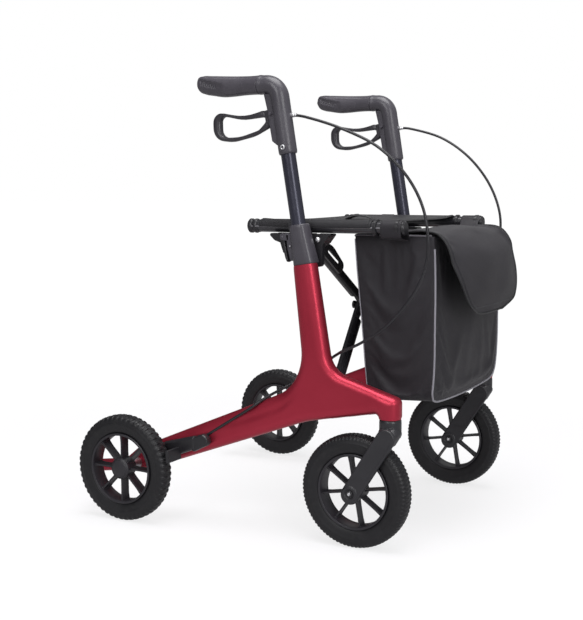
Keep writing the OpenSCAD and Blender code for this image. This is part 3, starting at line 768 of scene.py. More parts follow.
def clamp_lever():
    """Curved quick-release lever whose tail hangs down behind the sleeve."""
    x, _, z = joint_mm("right_clamp_turn")
    plate = pillow([(x - 4.5, z + 2, 3), (x, z + 4.8, 4), (x + 4.4, z + 2, 3), (x + 4.6, z - 5, 20),
                    (x + 7.5, z - 20, 60), (x + 11.8, z - 42, 2), (x + 8, z - 44.5, 2.5),
                    (x + 4.3, z - 37, 20), (x + 1.2, z - 26, 60), (x - 2.5, z - 15, 30),
                    (x - 5.9, z - 5, 8)], half_t=8.2, edge_r=2.6, cell=1.8, rings=5)
    rib = pillow([(x - 6.6, z - 5, 1), (x - 3.2, z - 15, 30), (x + 0.4, z - 26, 60), (x + 3.6, z - 37, 20),
                  (x + 5.4, z - 37, 1), (x + 2.4, z - 26, 40), (x - 1.2, z - 15, 30), (x - 4.6, z - 5, 1)],
                 half_t=8.9, edge_r=1.2, cell=1.6, rings=3)
    return moved(combine(plate, rib), (0, POST_Y, 0))


pair("clamp_lever_shell", clamp_lever(), "clamp", "black_plastic", "clamp_lever")


# ---------- Handles ----------

BODY_R = 16.3
BODY_Z = 800.0
SCREW_X, SCREW_Z = 63.0, 691.0


def handle_path():
    """Centre line of the handle body: level at the grip, a tight bend, then down along the handle tube."""
    bend_r, corner_x, foot_x, foot_z = 27.0, 46.2, 66.0, 679.5
    lean = math.atan2(foot_x - corner_x, BODY_Z - foot_z)
    turn = math.pi / 2 - lean
    start = corner_x - bend_r * math.tan(turn / 2)
    level = [(x, BODY_Z) for x in (10.4, 11.0, 12.0, 14.0, 16.0, 18.0, 20.0)]
    arc = [(start + bend_r * math.sin(a), BODY_Z - bend_r * (1 - math.cos(a)))
           for a in np.linspace(0, turn, 22)]
    end_x, end_z = arc[-1]
    down = [(end_x + (foot_x - end_x) * t, end_z + (foot_z - end_z) * t)
            for t in (*np.arange(0.08, 0.97, 0.08), 0.985, 1.0)]
    return np.array(level + arc + down)


def handle_body():
    """The bent moulding, with the thin fin behind its post and the recess of its screw."""
    path = handle_path()
    along = np.gradient(path, axis=0)
    along /= np.linalg.norm(along, axis=1)[:, None]
    rings = []
    for i, ((x, z), (tx, tz)) in enumerate(zip(path, along)):
        radius = BODY_R
        if z > BODY_Z - 0.5:
            radius += 0.8 * (1 - smoothstep(12.0, 20.0, x)) - 1.0 * (i == 0)
        radius -= (1.1, 0.35, 0)[min(2, len(path) - 1 - i)]
        rings.append([(x - tz * radius * math.cos(a), radius * math.sin(a), z + tx * radius * math.cos(a))
                      for a in circle(72)])
    shell = loft(rings)
    fin = pillow([(55, 699, 0), (55, 783, 0), (20, 785, 2), (27.5, 756, 60), (33.5, 722, 60), (37.5, 701, 5),
                  (50, 692, 4)], half_t=9.6, edge_r=2.4, cell=3.0, rings=4)
    recess = lathe(SCREW_X, SCREW_Z, [(6.8, -14.0), (6.8, -16.0), (6.2, -16.5), (5.6, -16.1), (5.5, -14.9),
                                      (0, -14.9)], 40)
    return moved(combine(shell, fin, recess), (0, POST_Y, 0))


pair("handle_shell", handle_body(), "handle", "dark_plastic", "handle_body", sharp_deg=45)


def handle_screw():
    """Six-lobed socket screw that holds the handle body to its tube."""
    profile = [(4.6, -14.6), (4.7, -15.9), (4.2, -16.6), (2.5, -16.9), (2.3, -16.5), (2.2, -15.4),
               (0.02, -15.2)]
    rings = []
    for r, y in profile:
        ring = []
        for a in circle(48):
            lobed = r * (1 + 0.16 * math.cos(6 * a)) if r < 2.4 else r
            ring.append((SCREW_X + lobed * math.sin(a), y, SCREW_Z + lobed * math.cos(a)))
        rings.append(ring)
    return moved(loft(rings, caps=False), (0, POST_Y, 0))


pair("handle_screw_head", handle_screw(), "handle", "bright_steel", "handle_screws")


def lever_pin():
    """Blind heads of the brake lever's pivot pin, nearly flush with the handle body."""
    x, _, z = LEVER_PIVOT
    head = [(0, -16.4), (2.4, -16.2), (2.9, -15.4), (2.9, 15.4), (2.4, 16.2), (0, 16.4)]
    return moved(lathe(x, z, head, 32), (0, POST_Y, 0))


pair("lever_pin_heads", lever_pin(), "handle", "dark_plastic")


def grip():
    """Palm grip with a flattened top, a thumb ledge and a row of short ridges near its domed end."""
    length = 118.0
    top = [(10, 816.6), (0, 816.2), (-30, 816.6), (-60, 818), (-85, 819.4), (-104, 819.8), (-112, 817.5),
           (-length, 808)]
    bottom = [(10, 783.4), (0, 783.6), (-20, 783.2), (-45, 781.8), (-64, 781.6), (-85, 784.6),
              (-101, 787.6), (-111, 792), (-length, 801)]
    width = [(10, 16.3), (0, 16.2), (-30, 16.4), (-60, 18.0), (-85, 19.6), (-102, 18.8), (-111, 15.5),
             (-length, 5)]
    rings = []
    stations = np.concatenate([[9.9, 9.3], np.arange(8.4, -100, -0.9), np.linspace(-100, -length, 16)])
    for i, x in enumerate(stations):
        high, low, half = (table_curve(keys, x) for keys in (top, bottom, width))
        pinch = 1.0 if i == 0 else 0
        centre, tall = (high + low) / 2, (high - low) / 2 - pinch
        share = smoothstep(0, -60, x)
        ring = []
        for a in circle(72):
            c, s = math.cos(a), math.sin(a)
            power = 2.1 + (0.7 * share if s > 0 else 0.1 * share)
            y = (half - pinch) * squared(c, power)
            z = centre + tall * squared(s, power)
            outer = smoothstep(0.35, 0.8, abs(c))
            ledge = 812.5 - 0.24 * (x + 100)
            on_ledge = smoothstep(-114, -106, x) * (1 - smoothstep(-66, -54, x))
            step_in = 2.3 * on_ledge * smoothstep(0.8, -0.8, z - ledge) * outer
            row = smoothstep(-106, -102, x) * (1 - smoothstep(-74, -70, x))
            band = smoothstep(ledge - 12, ledge - 10.5, z) * (1 - smoothstep(ledge - 3.5, ledge - 2, z))
            slot = 0.5 + 0.5 * math.cos(2 * math.pi * (x + (z - ledge) * 0.35) / 4.2)
            cut = step_in + 2.0 * row * band * slot * outer
            ring.append((x, y - math.copysign(cut, c), z))
        rings.append(ring)
    return moved(loft(rings), (0, POST_Y, 0))


pair("grip_shell", grip(), "handle", "grip_rubber", "grip", sharp_deg=60)


def brake_lever():
    """Closed loop, wider at its tail, with a solid tongue into the handle body."""
    x = LEVER_PIVOT[0]
    outer = [(-86, 757, 17), (-20, 745, 110), (24, 758, 10), (33, 727, 5), (0, 711, 70), (-45, 701.5, 60),
             (-85, 706, 24)]
    hole = [(-69, 749, 9), (-24, 739.5, 90), (23, 744.5, 5), (22, 735, 5), (8, 721.5, 14), (-30, 710.5, 90),
            (-68, 710, 15)]
    band = ring_band(outer, hole, lambda px: 5.5 + 2.5 * smoothstep(-10, -75, px))
    tongue = pillow([(20, 756, 4), (x + 3, 757, 5), (x + 6, 744, 5), (30, 727, 4), (22, 738, 3)],
                    half_t=5.6, edge_r=2.0, cell=2.0, rings=4)
    return moved(combine(band, tongue), (0, POST_Y, 0))


pair("brake_lever_loop", brake_lever(), "lever", "lever_plastic", "brake_lever", sharp_deg=50)


# ---------- Cables ----------

def cables():
    """Each cable bows out before its post, dips behind the upright and runs back along the arm's top."""
    exit_z, radius = 746, 2.5
    loops = {
        "right": [(71, exit_z), (100, 742), (165, 722), (234, 690), (285, 644), (316, 592), (327, 536),
                  (321, 484), (296, 436), (251, 386), (205, 356), (175, 342)],
        "left": [(71, exit_z), (100, 744), (165, 725), (220, 690), (262, 644), (288, 594), (297, 545),
                 (288, 486), (264, 434), (230, 390), (198, 359), (172, 341)],
    }
    for side, sign in SIDES.items():
        y, inner_y = sign * abs(POST_Y), sign * (abs(FRAME_Y) - 20.0)
        way = [(x, y, z) for x, z in loops[side]]
        way += [(158, (y + inner_y) / 2, 333), (146.7, inner_y, 326.8)]
        path = smooth_path(way, 10)
        loop = make_object(f"{side}_cable_loop", cord(path, radius), looks["cable_jacket"])
        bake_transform(loop)
        run = [(147.5, -20, 327.3), (116, -20, 306), (84, -20, 284), (58, -6, 267.5), (30, -1, 251.5),
               (15, 10.5, 240.5), (-2, 17.3, 227), (-43.5, 18, 200.7), (-92, 18, 170)]
        run = [(x, sign * (abs(FRAME_Y) + out), z) for x, out, z in run]
        piece(f"{side}_cable_run", cord(smooth_path(run, 8), radius), f"{side}_frame", "cable_jacket",
              f"{side}_brake_cable")
        points, faces = lathe(0, 0, [(0, -4), (3.3, -4), (3.9, -3), (3.9, 3.4), (3.0, 4.4), (3.0, 8),
                                     (2.4, 8.6), (0, 8.6)], 32)
        ferrule = moved((points[:, [1, 0, 2]], faces), (74, y, exit_z))
        piece(f"{side}_cable_ferrule", ferrule, f"{side}_handle", "bright_steel")


cables()


# ---------- Wheels and tyres ----------

RIM_R = half_size("right_rear_wheel")[0]
CROWN_R = half_size("right_rear_tyre")[0]


def both_faces(half_profile, middle=()):
    """A lathe profile from its (radius, y) points on one face, mirrored for the other face."""
    return [*((r, -y) for r, y in half_profile), *middle, *reversed(half_profile)]


def wheel_centre(hub, hub_r, hub_half, rim_half, spoke_half, web_half, flange, phase=0):
    """Hub, rim and eight ribbed spokes. Each spoke is a thin radial web with a narrow outer flange."""
    half_rim = [(RIM_R, rim_half), (RIM_R + 0.8, rim_half + 1.2), (RIM_R - 0.6, rim_half + 2.0),
                (RIM_R - 3.6, rim_half + 1.2), (RIM_R - 4.0, rim_half), (RIM_R - 4.4, rim_half * 0.45)]
    rim = lathe(0, 0, [*both_faces(half_rim, [(RIM_R - 4.8, 0)]), (RIM_R, -rim_half)], 128)
    barrel = lathe(0, 0, both_faces([(0, hub_half + 0.6), (hub_r * 0.55, hub_half + 0.6),
                                     (hub_r - 1.4, hub_half), (hub_r, hub_half - 1.6)]), 64)
    spokes = []
    for angle in math.radians(phase) + circle(8):
        radial = np.array([math.sin(angle), 0, math.cos(angle)])
        across = np.array([math.cos(angle), 0, -math.sin(angle)])
        rings = []
        for r in np.linspace(hub_r - 3, RIM_R - 3.6, 9):
            at_hub = 1 - smoothstep(hub_r - 3, hub_r + 9, r)
            flare = 1 + 0.35 * at_hub + 0.3 * smoothstep(RIM_R - 16, RIM_R - 4, r)
            face, web = flange * flare, web_half * flare
            depth = spoke_half * (1 + 0.12 * smoothstep(RIM_R - 20, RIM_R - 5, r))
            near = [(web, 4 - depth), (face, 2.2 - depth), (face, 0.5 - depth), (face - 0.6, -depth)]
            section = [(-web, depth), *((-a, b) for a, b in near), *reversed(near), (web, depth)]
            rings.append([radial * r + across * a + [0, -b, 0] for a, b in section])
        spokes.append(loft(rings))
    return moved(combine(rim, barrel, *spokes), hub)


def tyre(hub, half_w, blocks, groove):
    """Solid tyre: smooth side walls with a raised band, and tread blocks staggered across the crown."""
    # Radius, and share of the half width.
    half = [(RIM_R, 0.70), (RIM_R + 1.5, 0.80), (RIM_R + 5, 0.89), (RIM_R + 11, 0.965),
            (RIM_R + 15.4, 0.985), (RIM_R + 16, 1.0), (RIM_R + 20, 1.0), (RIM_R + 20.6, 0.98),
            (CROWN_R - 9.0, 0.965), (CROWN_R - 6.2, 0.93), (CROWN_R - 3.4, 0.83), (CROWN_R - 1.4, 0.66),
            (CROWN_R - 0.5, 0.45), (CROWN_R - 0.1, 0.22), (CROWN_R, 0.08)]
    edge = 0.06
    stops = (edge, 0.5 - edge, 0.5 + edge, 1 - edge)
    rings = []
    for r, share in both_faces(half):
        stagger = 0.0 if share < 0 else 0.5
        on_tread = r > CROWN_R - 7.5 and 0.15 < abs(share) < 0.97
        on_crown = abs(share) < 0.1
        ring = []
        for block in range(blocks):
            for stop in stops:
                in_gap = (stop + stagger) % 1.0 > 0.5
                dip = groove * 0.5 if on_crown else groove * (in_gap and on_tread)
                turn = 2 * math.pi * (block + stop) / blocks
                ring.append(((r - dip) * math.sin(turn), share * half_w, (r - dip) * math.cos(turn)))
        rings.append(ring)
    return moved(loft(rings, caps=False), hub)


def hub_cap(hub, hub_half):
    """Domed cap with a groove near its rim."""
    dome = lathe(0, 0, [(0, 1), (19.2, 1), (19.7, 0.2), (19.7, -1.2), (19.0, -2.6), (16.4, -4.2),
                        (15.8, -3.8), (15.2, -4.6), (8.5, -6.2), (0, -6.8)], 64)
    return moved(dome, hub - [0, hub_half, 0])


def wheels():
    """Rear wheels mirror each other. Front wheels don't, because both forks have their leg on the right."""
    rear_hub_half = 13
    rear = wheel_centre(REAR_HUB, hub_r=18.5, hub_half=rear_hub_half, rim_half=14, spoke_half=9.5,
                        web_half=1.7, flange=2.5)
    rear_tread = tyre(REAR_HUB, half_w=half_size("right_rear_tyre")[1], blocks=54, groove=1.5)
    cap = hub_cap(REAR_HUB, rear_hub_half)
    pair("rear_wheel_centre", rear, "rear_wheel_set", "wheel_plastic", "rear_wheel", sharp_deg=32)
    pair("rear_tyre_tread", rear_tread, "rear_wheel_set", "tyre_rubber", "rear_tyre", sharp_deg=30)
    pair("hub_cap_dome", cap, "rear_wheel_set", "wheel_plastic", "hub_cap")
    front = wheel_centre(FRONT_HUB, hub_r=17, hub_half=19, rim_half=15, spoke_half=8.0, web_half=1.4,
                         flange=2.1, phase=-10)
    front_tread = tyre(FRONT_HUB, half_w=half_size("right_front_tyre")[1], blocks=84, groove=1.1)
    pair("front_wheel_centre", front, "front_wheel_set", "wheel_plastic", "front_wheel", shifted, 32)
    pair("front_tyre_tread", front_tread, "front_wheel_set", "tyre_rubber", "front_tyre", shifted, 30)


wheels()


# ---------- Forks and brakes ----------

FORK_FACE = FRAME_Y - 24


def fork():
    """One-legged fork: a rounded crown under the swivel, and a softly dished leg beside the wheel."""
    stem_x, axle_x, axle_z = STEM[0], FRONT_HUB[0], FRONT_HUB[2]

    def dish(x, z, distance):
        return 0.7 * smoothstep(3.4, 5.0, distance) * smoothstep(122, 134, z) * (1 - smoothstep(192, 204, z))

    leg = pillow([(axle_x - 24, 92, 17), (axle_x + 5, 74, 17), (stem_x + 26, 207, 18),
                  (stem_x - 4, 225, 18)], half_t=4.2, edge_r=2.6, cell=2.6, relief=dish, rings=5)
    boss = lathe(axle_x, axle_z, [(0, -3.2), (7.4, -3.2), (8.0, -5.0), (9.2, -5.9), (12.6, -5.8),
                                  (14.2, -4.4), (14.2, 0)], 48)
    leg = moved(combine(leg, boss), (0, FORK_FACE, 0))
    crown = lathe_z(stem_x, FRAME_Y, [(0, 231.4), (17.6, 231.4), (18.6, 230.4), (19.0, 226), (19.0, 206),
                                      (18.0, 200.5), (14, 197), (0, 196)])
    shoulder = pillow([(stem_x - 15, 219, 9), (stem_x + 17, 221, 10), (stem_x + 23, 207, 9),
                       (stem_x + 9, 184, 5), (stem_x - 17, 200, 6)],
                      half_t=17.0, edge_r=9.5, cell=3.0, rings=6)
    return combine(leg, crown, moved(shoulder, (0, FRAME_Y - 8, 0)))


pair("fork_leg", fork(), "castor", "fork_plastic", "fork", shifted, sharp_deg=42)


def axle_heads():
    """Black button heads of the front axles, sunk in the fork bosses, with a bright socket."""
    x, z = FRONT_HUB[0], FRONT_HUB[2]
    button = lathe(x, z, [(2.1, -6.3), (4.6, -6.5), (5.9, -5.9), (6.4, -4.8), (6.4, -3.0), (2.1, -3.0),
                          (2.1, -6.3)], 40)
    socket = lathe(x, z, [(0, -5.0), (1.7, -5.0), (2.1, -6.2), (2.5, -6.6), (2.9, -6.4), (2.9, -5.6),
                          (0, -4.6)], 24)
    for name, head, slot in (("button", button, "black_plastic"), ("socket", socket, "bright_steel")):
        pair(f"axle_{name}", moved(head, (0, FORK_FACE, 0)), "castor", slot, to_left=shifted)


axle_heads()


def brake_housing():
    """The round-nosed arm beside the tyre, and the block that takes the cable."""
    arm = pillow([(-190, 144, 9), (-189, 127, 10), (-167, 121, 9), (-108, 144, 4), (-110, 169, 4),
                  (-177, 151, 8)], half_t=8.5, edge_r=5.0, cell=2.4, power=2.1, rings=6)
    block = pillow([(-117, 136, 4), (-92, 149, 8), (-81, 154, 8), (-83, 168, 8), (-94, 174, 7),
                    (-117, 165, 5)], half_t=7.6, edge_r=2.6, cell=2.4, rings=5)
    return moved(combine(arm, block), (0, FRAME_Y - 26, 0))


pair("brake_housing_shell", brake_housing(), "frame", "black_plastic", "brake_housing")


# ---------- Soft goods ----------

def settle(obj, held, frames, gravity, cap_mm, pressure=0.0, stiff=12.0, bend=0.6, shrink=0.0):
    """Runs a short cloth simulation on obj and applies it, with no vertex moved further than cap_mm.

    held gives how firmly each vertex is pinned, from 0 to 1.
    """
    start = np.array([v.co for v in obj.data.vertices])
    group = obj.vertex_groups.new(name="held")
    for i, weight in enumerate(held):
        group.add([i], float(weight), "REPLACE")
    cloth = obj.modifiers.new("Cloth", "CLOTH")
    s = cloth.settings
    s.quality = 6
    s.mass = 0.25
    s.tension_stiffness = s.compression_stiffness = stiff
    s.shear_stiffness = stiff * 0.6
    s.bending_stiffness = bend
    s.vertex_group_mass = "held"
    s.pin_stiffness = 1.0
    s.shrink_min = shrink
    s.effector_weights.gravity = gravity
    if pressure:
        s.use_pressure = True
        s.uniform_pressure_force = pressure
    cloth.collision_settings.use_collision = False
    cloth.point_cache.frame_end = frames
    scene = bpy.context.scene
    for number in range(1, frames + 1):
        scene.frame_set(number)
    posed = obj.evaluated_get(bpy.context.evaluated_depsgraph_get()).to_mesh()
    co = np.array([v.co for v in posed.vertices])
    scene.frame_set(1)
    obj.modifiers.remove(cloth)
    move = co - start
    length = np.linalg.norm(move, axis=1)
    cap = cap_mm * MM
    scale = np.where(length > 1e-9, cap * np.tanh(length / cap) / np.maximum(length, 1e-9), 1)
    obj.data.vertices.foreach_set("co", (start + move * scale[:, None]).ravel())
    obj.data.update()


def grid_part(points):
    """An open sheet from a grid of points."""
    return loft(points, closed=False, caps=False)


def thicken(obj, thickness_mm):
    """Gives a sheet its thickness and softens it, and applies both."""
    solid = obj.modifiers.new("thickness", "SOLIDIFY")
    solid.thickness = thickness_mm * MM
    solid.offset = -1
    smooth = obj.modifiers.new("smooth", "SUBSURF")
    smooth.levels = smooth.render_levels = 1
    depsgraph = bpy.context.evaluated_depsgraph_get()
    mesh = bpy.data.meshes.new_from_object(obj.evaluated_get(depsgraph))
    obj.modifiers.clear()
    old, obj.data = obj.data, mesh
    bpy.data.meshes.remove(old)
    for polygon in obj.data.polygons:
        polygon.use_smooth = True


def points_mm(obj):
    return np.array([v.co for v in obj.data.vertices]) / MM


def soft(obj, node=None, slot="bag_fabric", body="seat"):
    """Carries a cloth piece on its body and gives it its own copy of its mesh."""
    fitted(obj, body, node)
    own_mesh(obj)


def soft_trim(name, cords, look, slot="bag_fabric", body="seat"):
    """Cords sewn on cloth: piping, a hem, a binding or stitches."""
    soft(make_object(name, combine(*cords), look), None, slot, body)


def ripple(p, seed, scale_mm, height_mm):
    """Smooth, seeded unevenness for cloth, from a few crossing waves."""
    rng = np.random.default_rng(seed)
    total = np.zeros(len(p))
    for _ in range(6):
        way = rng.normal(size=3)
        way *= 2 * math.pi / (np.linalg.norm(way) * scale_mm * rng.uniform(0.7, 1.6))
        total += np.sin(p @ way + rng.uniform(0, 6.28)) * rng.uniform(0.4, 1)
    return total * height_mm / 3


def sling():
    """Seat sling: one sheet wrapped round both rails, sagging a little between them."""
    rail_y, rail_z = abs(RAIL[1]), RAIL[2]
    low, high = box_mm("seat_sling")
    wrap_r = RAIL_R + 2.0
    right_wrap = [(-rail_y - wrap_r * math.sin(a), rail_z - wrap_r * math.cos(a))
                  for a in np.radians(np.arange(84, 181, 8))]
    across = np.linspace(6 - rail_y, rail_y - 6, 54)
    span = [(y, rail_z + wrap_r - 2.0 * (1 - (y / rail_y) ** 2)) for y in across]
    left_wrap = [(-y, z) for y, z in reversed(right_wrap)]
    section = right_wrap + span + left_wrap
    stations = np.linspace(low[0] + 1, high[0] - 1, 44)
    points = np.array([[(x, y, z) for y, z in section] for x in stations])
    middle = smoothstep(0, 60, rail_y - np.abs([y for y, _ in section]))
    points[:, :, 2] += 0.8 * ripple(points.reshape(-1, 3), 4, 70, 1.0).reshape(points.shape[:2]) * middle
    obj = make_object("seat_sling_cloth", grid_part(points), looks["sling_fabric"])
    wrapped = np.ones(len(right_wrap))
    tightness = [*wrapped, *smoothstep(rail_y - 40, rail_y - 4, np.abs(across)), *wrapped]
    settle(obj, np.tile(tightness, len(stations)), 14, gravity=0.15, cap_mm=2.5)
    rows = points_mm(obj).reshape(points.shape)
    thicken(obj, 1.8)
    soft(obj, "seat_sling", "sling_fabric")
    hems = [cord(smooth_path(row[4:-4:4], 5), 1.2, 8) for row in (rows[1], rows[-2])]
    soft_trim("seat_sling_hem", hems, webbing_look, "sling_fabric")


def rail_lips():
    """The rolled lip of the fabric channel along the outer side of each rail, coloured light grey as a painted
    highlight line along the rail.
    """
    for side, sign in SIDES.items():
        low, high = box_mm(f"{side}_seat_rail")
        y, z = sign * (abs(RAIL[1]) + RAIL_R - 0.1), RAIL[2] - 0.6
        way = np.array([(x, y, z) for x in np.linspace(low[0] + 4, high[0] - 4, 12)])
        piece(f"{side}_rail_lip", cord(way, 1.5, 12), RAIL_BODY[side], "rail_metal", look=lip_painted_highlight_look)


def pull_strap():
    """The loop of webbing in the middle of the seat that is pulled up to fold the walker."""
    centre_x, half, width = 96, 30, 26
    rows = []
    for t in np.linspace(0, 1, 25):
        z = RAIL[2] + RAIL_R - 2.3 + 7.5 * math.sin(math.pi * t) ** 0.8
        rows.append([(centre_x + half * (2 * t - 1), y, z) for y in np.linspace(-width / 2, width / 2, 9)])
    obj = make_object("pull_strap", grid_part(rows), webbing_look)
    thicken(obj, 1.8)
    soft(obj, slot="sling_fabric")


BAG_HALF = 171.0
BAG_SIDE, BAG_FACE = 26, 70


def bag_edges(share):
    """Rear and front x of the bag's side panel at a share of its height, from the bottom up."""
    rear = table_curve([(0, 191), (0.15, 186), (0.3, 182), (0.45, 178), (0.65, 172), (0.85, 166),
                        (1, 163)], share)
    front = table_curve([(0, 310), (0.1, 313), (0.5, 315), (0.85, 314), (1, 312)], share)
    return rear, front


def bag_ring(share):
    """One level of the bag, anticlockwise from the rear right corner: side, front, side and back."""
    bottom, top = 250.0, 539.0
    z = bottom + (top - bottom) * share
    rear, front = bag_edges(share)
    swell = math.sin(math.pi * min(1, share * 1.05)) ** 0.7 if share < 0.95 else 0.3
    low_sag = 6 * (1 - smoothstep(0, 0.12, share))
    corner_r = 24.0
    over = max(0.0, 1 - (z - bottom) / corner_r)
    front_half = BAG_HALF - corner_r * (1 - math.sqrt(1 - over ** 2))

    def side(t):
        """Point of the right panel, at a share t of its depth from the rear."""
        half = BAG_HALF + (front_half - BAG_HALF) * t ** 2
        return rear + (front - rear) * t, -half - 2.5 * swell * math.sin(math.pi * t), z

    ring = [side(t) for t in np.arange(BAG_SIDE) / BAG_SIDE]
    for t in np.arange(BAG_FACE) / BAG_FACE:
        y = (2 * t - 1) * front_half
        arch = 1 - (y / BAG_HALF) ** 2
        ring.append((front + 16 * swell * arch, y, z - low_sag * arch))
    ring += [np.array(side(1 - t)) * [1, -1, 1] for t in np.arange(BAG_SIDE) / BAG_SIDE]
    for t in np.arange(BAG_FACE) / BAG_FACE:
        y = BAG_HALF * (1 - 2 * t)
        arch = 1 - (y / BAG_HALF) ** 2
        ring.append((rear - 3 * swell * arch, y, z - low_sag * arch * 0.5))
    return ring


def bag():
    """The bag's shell, with diagonal creases in its front panel. Gives the shell, its rings and corners."""
    shares = np.concatenate([np.linspace(0, 0.084, 9), np.linspace(0.105, 1, 38)])
    rings = np.array([bag_ring(s) for s in shares])
    count = rings.shape[1]
    corners = [0, BAG_SIDE, BAG_SIDE + BAG_FACE, 2 * BAG_SIDE + BAG_FACE]
    flat = rings.reshape(-1, 3)
    out = (flat - [240.0, 0, 0]) * [1, 1, 0]
    out /= np.linalg.norm(out, axis=1)[:, None]
    steps = np.arange(count)
    to_corner = np.min([np.abs((steps - c + count / 2) % count - count / 2) for c in corners], axis=0)
    free = np.clip(to_corner / 8.0, 0, 1)
    level = np.repeat(shares, count)
    loose = np.tile(free, len(shares)) * smoothstep(0, 0.12, level) * (1 - smoothstep(0.9, 1.0, level))
    flat = flat + out * (ripple(flat, 11, 120, 2.6) * loose)[:, None]
    folds = np.zeros(len(flat))
    for y0, z0, dy, dz, width, height in ((120, 262, -0.42, 1.0, 16, 5.0), (-110, 262, 0.5, 1.0, 15, 4.0),
                                          (60, 262, -0.15, 1.0, 14, 2.5), (-30, 262, 0.12, 1.0, 18, 2.0)):
        along = (flat[:, 1] - y0) * dy + (flat[:, 2] - z0) * dz
        across = (flat[:, 1] - y0) * dz - (flat[:, 2] - z0) * dy
        fading = smoothstep(-10, 30, along) * (1 - smoothstep(60, 150, along))
        folds += height * np.exp(-(across / width) ** 2) * fading * (flat[:, 0] > 300)
    flat[:, 0] += folds * loose
    rings = flat.reshape(rings.shape)
    base = rings[0].mean(0)
    floor = [base + (rings[0] - base) * s + [0, 0, -2.5 * (1 - s)] for s in (0.985, 0.9, 0.7, 0.4, 0.1)]
    part = loft(np.array([*reversed(floor), *rings]), caps=False)
    obj = make_object("bag_shell", part, looks["bag_fabric"], sharp_deg=180)
    co = points_mm(obj)
    held = np.maximum(smoothstep(505, 530, co[:, 2]), 1 - smoothstep(251, 264, co[:, 2]))
    for c in corners:
        away = np.linalg.norm(co[:, None, :] - rings[None, ::3, c, :], axis=2).min(axis=1)
        held = np.maximum(held, 1 - smoothstep(4, 26, away))
    held = np.maximum(held, 0.02)
    settle(obj, held, 16, gravity=0.6, pressure=0.2, cap_mm=5, stiff=9, bend=0.35, shrink=-0.035)
    thicken(obj, 1.6)
    soft(obj, "bag")
    return obj, rings, corners


def laid_on(obj, path, lift):
    """Moves the points of a path on to the surface of a piece, raised by lift along its normal."""
    out = []
    for p in path:
        found, place, normal, _ = obj.closest_point_on_mesh(Vector(p * MM))
        out.append(np.array(place + normal * lift * MM) / MM if found else p)
    out = np.array(out)
    for _ in range(3):
        out[1:-1] = (out[:-2] + 2 * out[1:-1] + out[2:]) / 4
    return out


def piping(shell, rings, corners):
    """Round grey piping: down the rear seams, and as one line round the front panel's sides and bottom."""
    cords = []
    for c in (corners[0], corners[3]):
        out = [-2, 2 * np.sign(rings[0, c, 1]), 0]
        cords.append(cord(laid_on(shell, smooth_path(rings[1::2, c, :] + out, 3), 0.5), 1.0, 10))
    first, last = corners[1], corners[2]
    down, up = rings[-2:0:-1, first, :], rings[1:-1, last, :]
    along = rings[0, first + 3:last - 2:4, :]
    line = np.vstack([down[2:], along, up[:-2]]) + [2, 0, -1]
    cords.append(cord(laid_on(shell, smooth_path(line, 3), 0.8), 1.7, 12))
    soft_trim("bag_piping", cords, piping_look)


def mouth_hem():
    """The rolled hem along the top of each side panel."""
    rear, front = bag_edges(1.0)
    way = [(rear + 1, -1.5), (rear + 9, 0.4), (215, 0), (260, 0.3), (front - 4, 0.5)]
    hems = [cord(smooth_path([(x, sign * (BAG_HALF + 0.6), 538.8 + rise) for x, rise in way], 8), 1.7, 10)
            for sign in SIDES.values()]
    soft_trim("bag_mouth_hem", hems, hem_look)


def lid_strip():
    """The fixed strip of lid behind the flap."""
    rear, _ = bag_edges(1.0)
    rows = []
    for x in np.linspace(rear - 0.5, FLAP_HINGE[0] + 3, 14):
        t = (x - rear) / (FLAP_HINGE[0] - rear)
        row = []
        for y in np.linspace(12 - BAG_HALF, BAG_HALF - 12, 60):
            arch = 1 - (y / BAG_HALF) ** 2
            crown = 8 * smoothstep(0.1, 0.45, arch) + (1 + 5 * arch) * smoothstep(-0.2, 1, t)
            row.append((x, y, 531 + crown - 3 * (1 - smoothstep(0, 0.12, t))))
        rows.append(row)
    points = np.array(rows)
    points[:, :, 2] += ripple(points.reshape(-1, 3), 8, 60, 0.8).reshape(points.shape[:2])
    obj = make_object("bag_lid_strip", grid_part(points), looks["bag_fabric"])
    thicken(obj, 1.8)
    soft(obj)


def bag_loops():
    """Two wide loops of the bag's cloth that hang it on the rails."""
    rail_y, rail_z = abs(RAIL[1]), RAIL[2]
    rear, width = 230.0, 38.0
    wrap_r = RAIL_R + 2.6
    parts = []
    section = [(BAG_HALF - 1.5, 527), (BAG_HALF + 3, 531), (rail_y + 5, 533), (rail_y + wrap_r - 2, 537),
               (rail_y + wrap_r - 0.6, 545)]
    for a in np.radians(np.arange(80, 251, 12)):
        section.append((rail_y + wrap_r * math.sin(a), rail_z - wrap_r * math.cos(a)))
    section += [(BAG_HALF + 2.0, 541), (BAG_HALF - 1.5, 530)]
    for sign in SIDES.values():
        rows = [[(x, sign * y, z) for y, z in section] for x in np.linspace(rear, rear + width, 10)]
        parts.append(grid_part(rows[::-sign]))
    obj = make_object("bag_rail_loops", combine(*parts), looks["bag_fabric"])
    thicken(obj, 1.4)
    soft(obj)


def flap_profile(t):
    """Point of the flap's middle line at a share of its length, from the hinge to the lower edge."""
    keys = [(0, FLAP_HINGE[0] + 0.5, 542.0), (0.16, 255, 546.5), (0.32, 292, 548.5), (0.44, 320, 542),
            (0.53, 336, 524), (0.66, 350, 490), (0.80, 358, 452), (0.92, 360, 419), (1.0, 358, 401)]
    return table_curve([(s, x) for s, x, _ in keys], t), table_curve([(s, z) for s, _, z in keys], t)


